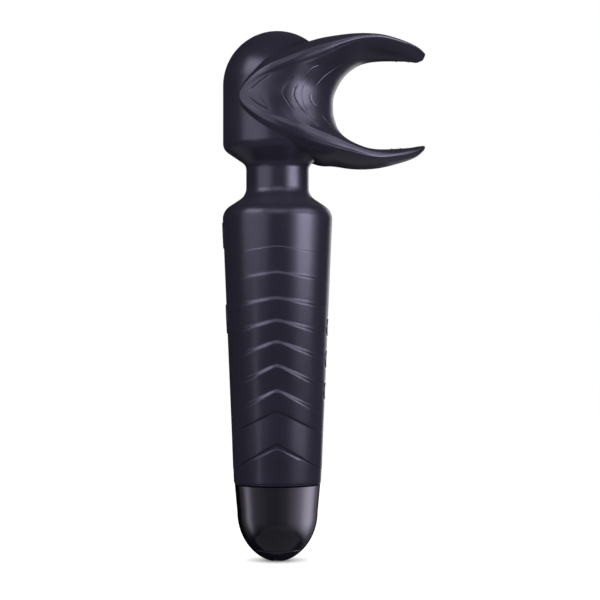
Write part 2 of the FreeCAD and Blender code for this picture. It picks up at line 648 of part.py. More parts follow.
def motor_armature():
    core = disc(ARMATURE_R, *ARMATURE_Z)
    cuts = [disc(SHAFT_R, *ARMATURE_Z)]
    for k in range(SLOT_COUNT):
        slot = box(SLOT_FLOOR_R, ARMATURE_R + 1, -SLOT_WIDTH / 2, SLOT_WIDTH / 2, *ARMATURE_Z)
        slot.rotate(V(0, 0, 0), V(0, 0, 1), k * 360 / SLOT_COUNT)
        cuts.append(slot)
    return core.cut(Part.makeCompound(cuts))


def motor_shaft():
    return disc(SHAFT_R, *SHAFT_Z)


def eccentric_weight():
    half = disc(WEIGHT_R, *WEIGHT_Z).common(box(-20, 0.5, -20, 20, *WEIGHT_Z))
    return half.fuse(disc(WEIGHT_HUB_R, *WEIGHT_Z)).cut(disc(SHAFT_R, *WEIGHT_Z)).removeSplitter()


# ---------------------------------------------------------------- write every piece
CHASSIS = chassis()

PIECES = {
    "grip_skin": grip_skin, "chassis_front": chassis_front, "chassis_rear": chassis_rear,
    "chassis_screws": chassis_screws, "neck_lower_socket": neck_lower_socket,
    "battery_cell": battery_cell, "battery_cushions": battery_cushions, "battery_tabs": battery_tabs,
    "control_board": control_board, "board_chips": board_chips, "tact_switches": tact_switches,
    "end_cap": end_cap, "base_insert": base_insert,
    "end_cap_seal": lambda: Part.makeTorus(SEAL_R, SEAL_WIRE, V(0, 0, SEAL_Z)),
    "charge_contacts": charge_contacts, "charge_magnets": charge_magnets,
    "charge_board": lambda: disc(CHARGE_BOARD_R, *CHARGE_BOARD_Z), "charge_leads": charge_leads,
    "neck_skin": neck_skin, "neck_spring": neck_spring, "motor_leads": motor_leads,
    "neck_upper_socket": neck_upper_socket, "head_skin": head_skin,
    "head_shell_lower": head_shell_lower, "head_shell_upper": head_shell_upper,
    "motor_cage": motor_cage, "motor_cage_screws": motor_cage_screws, "motor_damper": motor_damper,
    "motor_can": motor_can, "motor_end_bell": motor_end_bell, "motor_magnets": motor_magnets,
    "motor_armature": motor_armature, "motor_shaft": motor_shaft, "eccentric_weight": eccentric_weight,
    "upper_wing": lambda: wing(1), "lower_wing": lambda: wing(-1),
}


def main():
    os.makedirs("parts", exist_ok=True)
    for name, height in BUTTON_Z.items():
        PIECES[name] = lambda z=height: button(z)
    for name, make in PIECES.items():
        shape = make()
        shape.exportStep(f"parts/{name}.step")
        print(f"{name:20s} solids {len(shape.Solids)} volume {shape.Volume:10.1f} valid {shape.isValid()}")


main()
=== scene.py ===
"""Looks of the handheld wand massager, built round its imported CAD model.

Blender's own units are metres. Shapes are worked out in millimetres, in the CAD model's frame: +Z runs
up the wand, +X is the side that the cradle opens to, and the camera looks along +Y at its -Y side.
"""

import json
import math

import bpy
import numpy as np
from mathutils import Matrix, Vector
from mathutils.kdtree import KDTree


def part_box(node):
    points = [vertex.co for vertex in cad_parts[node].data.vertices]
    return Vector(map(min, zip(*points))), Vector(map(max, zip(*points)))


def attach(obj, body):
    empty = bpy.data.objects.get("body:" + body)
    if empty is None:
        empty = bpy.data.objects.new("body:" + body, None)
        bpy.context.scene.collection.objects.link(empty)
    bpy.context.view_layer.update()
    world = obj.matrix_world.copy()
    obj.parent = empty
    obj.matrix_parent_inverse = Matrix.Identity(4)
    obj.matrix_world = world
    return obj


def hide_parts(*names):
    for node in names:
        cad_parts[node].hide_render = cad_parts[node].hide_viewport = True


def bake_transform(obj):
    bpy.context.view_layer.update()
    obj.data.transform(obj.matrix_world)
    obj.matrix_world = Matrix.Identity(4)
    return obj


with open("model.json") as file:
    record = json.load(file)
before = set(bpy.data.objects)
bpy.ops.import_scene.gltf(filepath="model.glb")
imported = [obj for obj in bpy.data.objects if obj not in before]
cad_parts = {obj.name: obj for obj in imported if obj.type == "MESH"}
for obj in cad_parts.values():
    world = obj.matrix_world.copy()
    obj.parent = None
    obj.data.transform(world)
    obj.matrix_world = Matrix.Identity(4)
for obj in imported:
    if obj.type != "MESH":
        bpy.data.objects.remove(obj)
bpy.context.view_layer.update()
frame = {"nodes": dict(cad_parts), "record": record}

MM = 0.001
TINY = 1e-9  # keeps divisions clear of zero


def box_mm(node):
    low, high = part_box(node)
    return np.array(low) / MM, np.array(high) / MM


# ---- sizes, in millimetres
HEAD_TOP_Z = box_mm("head_skin")[1][2]
HEAD_R = 21.6
SHOULDER_R, SHOULDER_Z, SHOULDER_ROUND = box_mm("grip_skin")[1][1], 138.4, 6.0
GRIP_FOOT_R, GRIP_FOOT_Z = 17.3, box_mm("grip_skin")[0][2]
NECK_R = box_mm("neck_spring")[1][0] + 3.9
NECK_FOOT_Z, NECK_FOOT_ROUND = 144.7, 5.7
NECK_TOP_Z, NECK_TOP_ROUND = 156.7, 3.6
HEAD_FOOT_Z, HEAD_FOOT_ROUND = 163.0, 4.0
DOME_Z = HEAD_TOP_Z - HEAD_R
SKIN = 1.8
WAIST_Z = 151.3  # the sleeve's two pieces meet here, halfway up the neck

CAP_TOP_Z, CAP_TOP_R = box_mm("end_cap")[1][2], 16.95
FOOT_A, FOOT_B, FOOT_CENTRE_Z, FOOT_POWER = 15.95, 19.35, 19.0, 1.92
INSERT_R = box_mm("base_insert")[1][0]
CONTACT_Y, CONTACT_HOLE_R = 3.5, 1.4
CAP_WALL = 1.8

BUTTONS = ("button_up", "button_power", "button_down")
BUTTON_TALL, BUTTON_WIDE, BUTTON_CLEARANCE, BUTTON_PROUD = 7.0, 9.0, 0.35, 0.2
BUTTON_ROUND, BUTTON_DISH = 0.45, 0.16
BUTTON_SKIRT = 0.65  # how far a button reaches into the skin, as a share of its thickness

COLUMNS = 384  # points round the wand
FOOT_COLUMNS = 192  # points round the foot's cap and insert
BUTTON_COLUMNS = 96  # points round a button
ROW_PITCH = 0.55  # height between rows where the surface is plain


# ---- small helpers
def smoothstep(low, high, value):
    t = np.clip((value - low) / (high - low), 0.0, 1.0)
    return t * t * (3 - 2 * t)


def ramp(t, rounding=0.22):
    """From 0 to 1 as t does, straight in the middle and rounded at both ends."""
    t = np.clip(t, 0.0, 1.0)
    low = t * t / (2 * rounding)
    middle = t - rounding / 2
    high = (1 - rounding) - (1 - t) ** 2 / (2 * rounding)
    return np.where(t < rounding, low, np.where(t > 1 - rounding, high, middle)) / (1 - rounding)


def unit(vectors):
    return vectors / np.maximum(np.linalg.norm(vectors, axis=-1, keepdims=True), TINY)


def grid_faces(rows, columns, closed=True):
    """Quads of a grid of points numbered row by row; closed joins the last column to the first."""
    first = np.arange(rows - 1)[:, None] * columns
    column = np.arange(columns if closed else columns - 1)[None, :]
    a, b = first + column, first + (column + 1) % columns
    return np.stack([a, b, b + columns, a + columns], -1).reshape(-1, 4)


def circle(count):
    """Angles of points spaced evenly round a circle."""
    return np.arange(count) * 2 * math.pi / count


def ring_points(radii, heights, columns):
    """Points of rings round the wand's axis, one ring for each radius and height."""
    angle = circle(columns)
    radii, heights = np.array(radii)[:, None], np.array(heights)[:, None]
    return np.stack([radii * np.cos(angle), radii * np.sin(angle), heights + 0 * angle], -1).reshape(-1, 3)


def band_faces(before, after):
    """Quads between two closed rings of point numbers."""
    count = len(before)
    return [(before[i], before[(i + 1) % count], after[(i + 1) % count], after[i]) for i in range(count)]


def fan_faces(ring, centre):
    """Triangles between a closed ring of point numbers and a centre."""
    return [(ring[i], ring[(i + 1) % len(ring)], centre) for i in range(len(ring))]


def dome_faces(rows, columns):
    """Faces of closed rings, and of a fan from the last ring to the point that follows it."""
    top = rows * columns
    return list(grid_faces(rows, columns)) + fan_faces(range(top - columns, top), top)


def add_object(name, data):
    thing = bpy.data.objects.new(name, data)
    bpy.context.scene.collection.objects.link(thing)
    return thing


def add_mesh(name, points, faces, material, flip=False):
    """A smooth mesh object from points in millimetres."""
    faces = [tuple(int(i) for i in (face[::-1] if flip else face)) for face in faces]
    mesh = bpy.data.meshes.new(name)
    mesh.from_pydata((np.asarray(points) * MM).tolist(), [], faces)
    mesh.polygons.foreach_set("use_smooth", [True] * len(mesh.polygons))
    mesh.materials.append(material)
    mesh.update()
    return add_object(name, mesh)


def rounded_outline(corners, steps=24):
    """Points along straight runs joined by tangent arcs, from (radius, height, rounding) corners."""
    points = [corners[0][:2]]
    for before, corner, after in zip(corners, corners[1:], corners[2:]):
        place = np.array(corner[:2])
        back, ahead = unit(np.array(before[:2]) - place), unit(np.array(after[:2]) - place)
        half = math.acos(float(back @ ahead)) / 2
        reach = corner[2] / math.tan(half)
        centre = place + unit(back + ahead) * corner[2] / math.sin(half)
        start, end = place + back * reach - centre, place + ahead * reach - centre
        for k in range(steps + 1):
            points.append(centre + unit(start * (steps - k) + end * k) * corner[2])
    points.append(corners[-1][:2])
    return np.array(points, float)


def spline(knots, values, at):
    """Natural cubic spline through rows of values at the knots."""
    gaps = np.diff(knots)[:, None]
    count = len(knots)
    matrix, right = np.eye(count), np.zeros_like(values)
    slopes = np.diff(values, axis=0) / gaps
    for i in range(1, count - 1):
        matrix[i, i - 1:i + 2] = gaps[i - 1, 0], 2 * (gaps[i - 1, 0] + gaps[i, 0]), gaps[i, 0]
        right[i] = 6 * (slopes[i] - slopes[i - 1])
    bend = np.linalg.solve(matrix, right)
    k = np.clip(np.searchsorted(knots, at, side="right") - 1, 0, count - 2)
    gap = gaps[k]
    ahead, behind = knots[k + 1][:, None] - at[:, None], at[:, None] - knots[k][:, None]
    curve = (bend[k] * ahead ** 3 + bend[k + 1] * behind ** 3) / (6 * gap)
    return curve + (values[k] / gap - bend[k] * gap / 6) * ahead + (
        values[k + 1] / gap - bend[k + 1] * gap / 6) * behind


# ---- materials, in metres
NOISE_LOW, NOISE_HIGH = 0.3, 0.7  # most of a noise lies between these
FINE_DETAIL = 2.0


def set_sockets(tree, node, **values):
    """Set a node's sockets, named with underscores for spaces, to values or link them to outputs."""
    for name, value in values.items():
        socket = node.inputs[name.replace("_", " ")]
        if isinstance(value, bpy.types.NodeSocket):
            tree.links.new(value, socket)
        else:
            socket.default_value = value


def add_node(tree, kind, **values):
    node = tree.nodes.new("ShaderNode" + kind)
    set_sockets(tree, node, **values)
    return node


def material_with(name):
    material = bpy.data.materials.new(name)
    material.use_nodes = True
    tree = material.node_tree
    return material, tree, tree.nodes["Principled BSDF"], add_node(tree, "TexCoord").outputs["Object"]


def noise(tree, place, grain, detail=4.0, stretch=None):
    """Noise whose features are about grain metres across, stretched along an axis if asked."""
    if stretch is not None:
        place = add_node(tree, "Mapping", Vector=place, Scale=stretch).outputs["Vector"]
    return add_node(tree, "TexNoise", Vector=place, Scale=1.0 / grain, Detail=detail).outputs["Fac"]


def spread(tree, factor, low, high):
    """A noise's middle range, moved to run from low to high."""
    node = add_node(tree, "MapRange", Value=factor, From_Min=NOISE_LOW, From_Max=NOISE_HIGH,
                    To_Min=low, To_Max=high)
    return node.outputs["Result"]


def tint(tree, factor, stops):
    """Colours along a ramp, as (place, (r, g, b)) stops."""
    node = add_node(tree, "ValToRGB", Fac=factor)
    elements = node.color_ramp.elements
    while len(elements) < len(stops):
        elements.new(0.5)
    for element, (where, colour) in zip(elements, stops):
        element.position = where
        element.color = (*colour, 1.0)
    return node.outputs["Color"]


def two_tone(tree, factor, dark, light):
    """A noise's middle range, coloured from dark to light."""
    return tint(tree, factor, ((NOISE_LOW, dark), (NOISE_HIGH, light)))


def relief(tree, height, depth, **under):
    """A bump of a depth in metres, on top of another bump's Normal if one is given."""
    return add_node(tree, "Bump", Height=height, Distance=depth, Strength=1.0, **under).outputs["Normal"]


def surface(name, dark, light, grain, rough, depth, fine=0.00012, stretch=None, **sockets):
    """A material whose colour and roughness wander between two values and whose skin has a fine relief."""
    material, tree, shader, place = material_with(name)
    broad = noise(tree, place, grain, stretch=stretch)
    narrow = noise(tree, place, grain / 3, stretch=stretch)
    height = noise(tree, place, fine, FINE_DETAIL, stretch)
    set_sockets(tree, shader, Base_Color=two_tone(tree, broad, dark, light),
                Roughness=spread(tree, narrow, *rough), Normal=relief(tree, height, depth), **sockets)
    return material


def board_material():
    """Green solder mask over a lattice of tracks, with scattered round pads."""
    material, tree, shader, place = material_with("solder_mask")
    upright = (math.pi / 2, 0, math.pi / 2)
    turned = add_node(tree, "Mapping", Vector=place, Rotation=upright).outputs["Vector"]
    tracks = add_node(tree, "TexBrick", Vector=turned, Scale=420.0, Mortar_Size=0.03,
                      Color1=(0.012, 0.10, 0.045, 1), Color2=(0.015, 0.125, 0.055, 1),
                      Mortar=(0.03, 0.22, 0.09, 1))
    pads = add_node(tree, "TexVoronoi", Vector=place, Scale=380.0).outputs["Distance"]
    spots = tint(tree, pads, ((0.10, (0.75, 0.70, 0.55)), (0.13, (0.0, 0.0, 0.0))))
    both = tree.nodes.new("ShaderNodeMix")
    both.data_type = "RGBA"
    both.blend_type = "ADD"
    set_sockets(tree, both, Factor=1.0, A=tracks.outputs["Color"], B=spots)
    set_sockets(tree, shader, Base_Color=both.outputs["Result"],
                Roughness=spread(tree, noise(tree, place, 0.002), 0.28, 0.42),
                Normal=relief(tree, tracks.outputs["Fac"], 5e-5))
    return material


def laminated_material():
    """Stacked steel sheets, seen as thin bands round the core."""
    material, tree, shader, place = material_with("laminations")
    wave = add_node(tree, "TexWave", Vector=place, Scale=320.0, Distortion=0.4)
    wave.bands_direction = "Z"
    bands = wave.outputs["Fac"]
    set_sockets(tree, shader, Metallic=0.9,
                Base_Color=tint(tree, bands, ((0.2, (0.10, 0.10, 0.10)), (0.5, (0.42, 0.41, 0.40)))),
                Roughness=spread(tree, noise(tree, place, 0.001), 0.35, 0.5),
                Normal=relief(tree, bands, 8e-5))
    return material


def foam_material():
    """Closed-cell foam: small round cells pressed into a matte skin, each painted darker at its middle
    where the relief dips, as painted shade in the pits.
    """
    material, tree, shader, place = material_with("foam")
    cell_pits_and_painted_shade = add_node(tree, "TexVoronoi", Vector=place, Scale=1500.0).outputs["Distance"]
    set_sockets(tree, shader,
                # dark at each cell's middle, where the bump sinks: painted shade in the pits
                Base_Color=tint(tree, cell_pits_and_painted_shade, ((0.0, (0.06, 0.06, 0.065)), (0.6, (0.16, 0.16, 0.17)))),
                Roughness=spread(tree, noise(tree, place, 0.002), 0.8, 0.95),
                Normal=relief(tree, cell_pits_and_painted_shade, 0.0002))
    return material


def silicone_material():
    """Matte silicone: violet-black, with a very fine moulded grain and slow changes of gloss."""
    material, tree, shader, place = material_with("silicone")
    slow = noise(tree, place, 0.030, 3.0)
    grain = relief(tree, noise(tree, place, 0.00016, FINE_DETAIL), 3.5e-6)
    ripple = relief(tree, noise(tree, place, 0.0016, FINE_DETAIL), 6e-6, Normal=grain)
    set_sockets(tree, shader, Normal=ripple,
                Base_Color=two_tone(tree, slow, (0.0165, 0.0150, 0.0260), (0.0195, 0.0178, 0.0304)),
                Roughness=spread(tree, noise(tree, place, 0.004), 0.28, 0.32),
                Specular_IOR_Level=0.62, Specular_Tint=(0.74, 0.70, 1.0, 1.0),
                Sheen_Weight=0.05, Sheen_Roughness=0.5, Sheen_Tint=(0.75, 0.72, 0.95, 1.0))
    return material


def gloss_material(name, colour, rough):
    """Polished plastic with faint hairline scratches and soft mould flow."""
    material, tree, shader, place = material_with(name)
    lighter = tuple(c * 1.2 for c in colour)
    hairlines = noise(tree, place, 0.0006, 3.0, stretch=(1.0, 1.0, 0.06))
    set_sockets(tree, shader, Base_Color=two_tone(tree, noise(tree, place, 0.012, 2.0), colour, lighter),
                Roughness=spread(tree, hairlines, rough, rough + 0.05),
                Normal=relief(tree, hairlines, 1.2e-6),
                Specular_IOR_Level=0.55, Specular_Tint=(0.95, 0.92, 1.0, 1.0),
                Coat_Weight=0.25, Coat_Roughness=0.05)
    return material


SILICONE = silicone_material()
CAP_GLOSS = gloss_material("cap_gloss", (0.0125, 0.0115, 0.0180), 0.12)
BUTTON_GLOSS = gloss_material("button_gloss", (0.009, 0.009, 0.012), 0.09)
# the finish of each material slot; a surface has a darker and a lighter colour, the size of its patches,
# its least and greatest roughness and the depth of its relief
FINISHES = {
    "silicone": SILICONE,
    "cap_gloss": CAP_GLOSS,
    "insert_gloss": CAP_GLOSS,
    "button_gloss": BUTTON_GLOSS,
    "inner_plastic": surface(
        "moulded_plastic", (0.030, 0.030, 0.034), (0.042, 0.042, 0.046), 0.008, (0.45, 0.6), 2e-5),
    "fastener_steel": surface(
        "zinc_plate", (0.42, 0.42, 0.40), (0.60, 0.60, 0.62), 0.0012, (0.22, 0.4), 1e-5, Metallic=1.0),
    "spring_steel": surface(
        "spring_wire", (0.30, 0.30, 0.31), (0.45, 0.45, 0.47), 0.0015, (0.25, 0.42), 1e-5, Metallic=1.0),
    "motor_steel": surface(
        "drawn_steel", (0.48, 0.48, 0.48), (0.62, 0.62, 0.61), 0.0015, (0.2, 0.36), 1.2e-5,
        stretch=(1, 1, 0.05), Metallic=1.0),
    "lamination_steel": laminated_material(),
    "magnet": surface(
        "ferrite", (0.045, 0.045, 0.05), (0.09, 0.09, 0.095), 0.0009, (0.45, 0.7), 3e-5, Metallic=0.3),
    "weight_metal": surface(
        "turned_brass", (0.52, 0.38, 0.14), (0.70, 0.55, 0.25), 0.001, (0.2, 0.38), 1.2e-5,
        stretch=(1, 1, 9), Metallic=1.0),
    "damper_rubber": surface(
        "rubber", (0.018, 0.018, 0.019), (0.030, 0.030, 0.031), 0.004, (0.6, 0.8), 2e-5),
    "cushion_foam": foam_material(),
    "cell_sleeve": surface(
        "shrink_sleeve", (0.02, 0.12, 0.32), (0.03, 0.17, 0.42), 0.006, (0.22, 0.34), 2e-5,
        fine=0.002, Coat_Weight=0.4),
    "nickel": surface(
        "nickel_strip", (0.52, 0.50, 0.46), (0.68, 0.66, 0.61), 0.001, (0.22, 0.4), 1e-5,
        stretch=(0.1, 1, 1), Metallic=1.0),
    "circuit_board": board_material(),
    "chip": surface(
        "chip_package", (0.012, 0.012, 0.013), (0.024, 0.024, 0.026), 0.0008, (0.5, 0.7), 2e-5),
    "contact_gold": surface(
        "gold_plate", (0.75, 0.52, 0.16), (0.90, 0.68, 0.28), 0.0008, (0.15, 0.3), 6e-6, Metallic=1.0),
    "lead_insulation": surface(
        "wire_sleeve", (0.26, 0.012, 0.012), (0.36, 0.02, 0.018), 0.002, (0.35, 0.5), 1e-5),
}


def dress_cad_nodes():
    """Give every carried-over CAD node the finish of its material slot."""
    for row in frame["record"]["subparts"]:
        materials = frame["nodes"][row["node"]].data.materials
        materials.clear()
        materials.append(FINISHES[row["material_slot"]])


# ---- the wand's outline
OUTLINE = rounded_outline([
    (GRIP_FOOT_R, GRIP_FOOT_Z, 0),
    (SHOULDER_R, SHOULDER_Z, SHOULDER_ROUND),
    (NECK_R, NECK_FOOT_Z, NECK_FOOT_ROUND),
    (NECK_R, NECK_TOP_Z, NECK_TOP_ROUND),
    (HEAD_R, HEAD_FOOT_Z, HEAD_FOOT_ROUND),
    (HEAD_R, DOME_Z, 0),
])


def wand_radius(z):
    return np.interp(z, OUTLINE[:, 1], OUTLINE[:, 0])


# ---- grip sleeve
# chevrons on both flat sides of the grip, from the foot up: height at the middle, slope, height of the
# step, how far the skin stands out below and above the step, and the share of the radius by which the
# arms have died out
CHEVRONS = (
    (45.3, 0.55, 0.5, 0.10, -0.05, 0.55),
    (47.1, 0.62, 0.5, -0.05, 0.20, 1.2),
    (59.9, 0.525, 0.5, 0.02, 0.30, 0.93),
    (68.5, 0.55, 1.6, 0.60, 0.0, 0.97),
    (78.2, 0.51, 1.6, 0.60, 0.0, 0.97),
    (87.4, 0.39, 1.6, 0.55, 0.0, 0.97),
    (95.6, 0.284, 1.5, 0.55, 0.0, 0.97),
    (104.2, 0.186, 1.4, 0.50, 0.0, 0.97),
    (114.0, 0.152, 1.2, 0.40, 0.0, 0.97),
    (123.6, 0.14, 0.5, 0.15, 0.0, 0.97),
)
CHEVRON_TIP = 1.2  # rounding where the two arms of a chevron meet
CHEVRON_FADE = 0.67  # share of an arm's reach from which it dies out
CHEVRON_CLEAR = 4.0  # plain height above the highest chevron
STEP_ROWS = 7
HEM_Z, HEM_TALL, HEM_STEP = 31.5, 0.25, 0.15
# raised finger pads on the -X side, as middle height, height and width
PADS = ((128.9, 10.8, 9.5), (95.75, 12.3, 9.5))
PAD_RISE, PAD_EDGE, PAD_ROUNDING, PAD_STEPS = 0.32, 0.5, 0.35, 6
PAD_CROWN = 0.05  # rise of a pad's middle over its edge
PAD_SHARES = (0.8, 0.6, 0.4, 0.2, 0.06)  # rings of a pad's top, as shares of its outline
PATCH_MARGIN, PATCH_RINGS = 1.2, 5
LIP_R, LIP_STEPS = 0.35, 5  # rounded edge of a button's hole
WALL_MIDDLE = 0.6  # place of the ring in a hole's wall, as a share of the skin


def chevron_height(angle, height, slope):
    """Height of a chevron's line, whose arms run down from the middle of the -Y and +Y sides."""
    across = wand_radius(height) * np.cos(angle)
    return height - slope * (np.sqrt(across ** 2 + CHEVRON_TIP ** 2) - CHEVRON_TIP)


def grip_grid():
    """Heights and outward offsets of the grip's rows, each row bent to follow the chevrons."""
    angle = circle(COLUMNS)
    across = np.abs(np.cos(angle))
    level = np.ones(COLUMNS)
    hem = (GRIP_FOOT_Z, -HEM_STEP), (HEM_Z - HEM_TALL, -HEM_STEP), (HEM_Z, 0)
    keys = [(z * level, offset * level) for z, offset in hem]
    steps = {1}  # keys after which the skin steps out or in, the hem first
    for height, slope, step, below, above, reach in CHEVRONS:
        share = 1 - smoothstep(reach * CHEVRON_FADE, reach, across)
        line = chevron_height(angle, height, slope)
        steps.add(len(keys))
        keys.append((line - step, below * share))
        keys.append((line, above * share))
    keys += [(z * level, 0 * level) for z in (CHEVRONS[-1][0] + CHEVRON_CLEAR, WAIST_Z)]
    heights, offsets = [keys[0][0]], [keys[0][1]]
    for index, ((z0, d0), (z1, d1)) in enumerate(zip(keys, keys[1:])):
        stepped = index in steps
        count = STEP_ROWS if stepped else max(2, round(float((z1 - z0).max()) / ROW_PITCH))
        for k in range(1, count + 1):
            t = k / count
            share = ramp(t) if stepped else t
            heights.append(z0 + (z1 - z0) * t)
            offsets.append(d0 + (d1 - d0) * share)
    return angle, np.array(heights), np.array(offsets)


def on_wand(angle, z, offset):
    radius = wand_radius(z) + offset
    return np.stack([radius * np.cos(angle), radius * np.sin(angle), z], -1)


def pill_point(turn, half_tall, half_wide):
    """Point (across, up) of a pill's outline, whose round ends lie across, in the direction turn."""
    c, s = np.abs(np.cos(turn)), np.abs(np.sin(turn))
    reach = half_wide - half_tall
    flat = half_tall * c / np.maximum(s, TINY)
    round_end = reach * c + np.sqrt(np.maximum(half_tall ** 2 - (reach * s) ** 2, 0))
    length = np.where(flat <= reach, np.hypot(flat, half_tall), round_end)
    return length * np.cos(turn), length * np.sin(turn)


def patch_window(angle, heights, middle_angle, middle_z, half_tall, half_wide):
    """Rows and columns of the grid that frame a patch of the wand's side."""
    column = round(middle_angle / (2 * math.pi) * COLUMNS) % COLUMNS
    column_heights = heights[:, column]
    low = int(np.searchsorted(column_heights, middle_z - half_tall - PATCH_MARGIN)) - 1
    high = int(np.searchsorted(column_heights, middle_z + half_tall + PATCH_MARGIN))
    span = (half_wide + PATCH_MARGIN) / wand_radius(middle_z) / (2 * math.pi) * COLUMNS
    return low, high, column, math.ceil(span)


def patch(points, faces, window, middle_angle, middle_z, half_tall, half_wide, rings, fill):
    """Fill a window with a pill-shaped hole or pad; rings are (outset, rise) from its outline."""
    low, high, column, span = window
    loop = [(low, c) for c in range(-span, span)] + [(r, span) for r in range(low, high)]
    loop += [(high, c) for c in range(span, -span, -1)] + [(r, -span) for r in range(high, low, -1)]
    border = [r * COLUMNS + (column + c) % COLUMNS for r, c in loop]
    turned = np.arctan2(points[border, 1], points[border, 0]) - middle_angle
    turned = (turned + math.pi) % (2 * math.pi) - math.pi
    radius = wand_radius(middle_z)
    across, up = turned * radius, points[border, 2] - middle_z
    turn = np.arctan2(up, across)

    def pill(outset):
        return pill_point(turn, half_tall + outset, half_wide + outset)

    edge_across, edge_up = pill(rings[0][0])
    rows = []
    for k in range(1, PATCH_RINGS):
        t = k / PATCH_RINGS
        rows.append((across + (edge_across - across) * t, up + (edge_up - up) * t, 0.0))
    for outset, rise in rings:
        rows.append((*pill(outset), rise))
    if fill:
        rim_across, rim_up, rise = rows[-1]
        for share in PAD_SHARES:
            rows.append((rim_across * share, rim_up * share, rise + PAD_CROWN * (1 - share)))
    previous = border
    for ring_across, ring_up, rise in rows:
        placed = on_wand(middle_angle + ring_across / radius, middle_z + ring_up, rise)
        current = range(len(points), len(points) + len(border))
        points = np.vstack([points, placed])
        faces += band_faces(previous, current)
        previous = current
    if fill:
        faces += fan_faces(previous, len(points))
        points = np.vstack([points, on_wand(middle_angle, middle_z, rise)])
    return points, faces


def hole_rings():
    """A rounded lip that turns down into a wall as deep as the skin."""
    rings = []
    for k in range(LIP_STEPS + 1):
        turn = math.pi / 2 * k / LIP_STEPS
        rings.append((LIP_R * (1 - math.sin(turn)), -LIP_R * (1 - math.cos(turn))))
    return rings + [(0.0, -SKIN * WALL_MIDDLE), (0.0, -SKIN)]


def pad_rings():
    """A soft step up to a pad's flat top."""
    shares = [k / PAD_STEPS for k in range(PAD_STEPS + 1)]
    return [(-PAD_EDGE * t, PAD_RISE * ramp(t, PAD_ROUNDING)) for t in shares]


def button_height(name):
    low, high = box_mm(name)
    return (low[2] + high[2]) / 2


def grip_sleeve():
    angle, heights, offsets = grip_grid()
    points = on_wand(angle[None, :], heights, offsets).reshape(-1, 3)
    faces = grid_faces(len(heights), COLUMNS)
    hole_size = BUTTON_TALL / 2 + BUTTON_CLEARANCE, BUTTON_WIDE / 2 + BUTTON_CLEARANCE
    holes = [(0.0, button_height(name), *hole_size, hole_rings(), False) for name in BUTTONS]
    pads = [(math.pi, z, tall / 2, wide / 2, pad_rings(), True) for z, tall, wide in PADS]
    windows = [patch_window(angle, heights, *spot[:4]) for spot in holes + pads]
    keep = np.ones((len(heights) - 1, COLUMNS), bool)
    for low, high, column, span in windows:
        keep[low:high, (column + np.arange(-span, span)) % COLUMNS] = False
    faces = list(faces[keep.reshape(-1)])
    for window, spot in zip(windows, holes + pads):
        points, faces = patch(points, faces, window, *spot)
    # the foot turns in as deep as the skin, above the end cap
    faces += band_faces(range(len(points), len(points) + COLUMNS), range(COLUMNS))
    points = np.vstack([points, on_wand(angle, np.full(COLUMNS, GRIP_FOOT_Z), -SKIN)])
    sleeve = add_mesh("grip_sleeve", points, faces, SILICONE)
    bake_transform(sleeve)
    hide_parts("grip_skin")


def head_sleeve():
    """The sleeve's upper piece: the top half of the neck and the round head."""
    straight = np.arange(WAIST_Z, DOME_Z, ROW_PITCH)
    arc = np.arange(0, math.pi / 2, ROW_PITCH / HEAD_R)[:-1]
    heights = np.concatenate([straight, DOME_Z + HEAD_R * np.sin(arc)])
    radii = np.concatenate([wand_radius(straight), HEAD_R * np.cos(arc)])
    points = np.vstack([ring_points(radii, heights, COLUMNS), [[0, 0, HEAD_TOP_Z]]])
    sleeve = add_mesh("head_sleeve", points, dome_faces(len(heights), COLUMNS), SILICONE)
    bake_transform(sleeve)
    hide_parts("neck_skin", "head_skin")


# ---- cradle
CRADLE_Z = 182.2
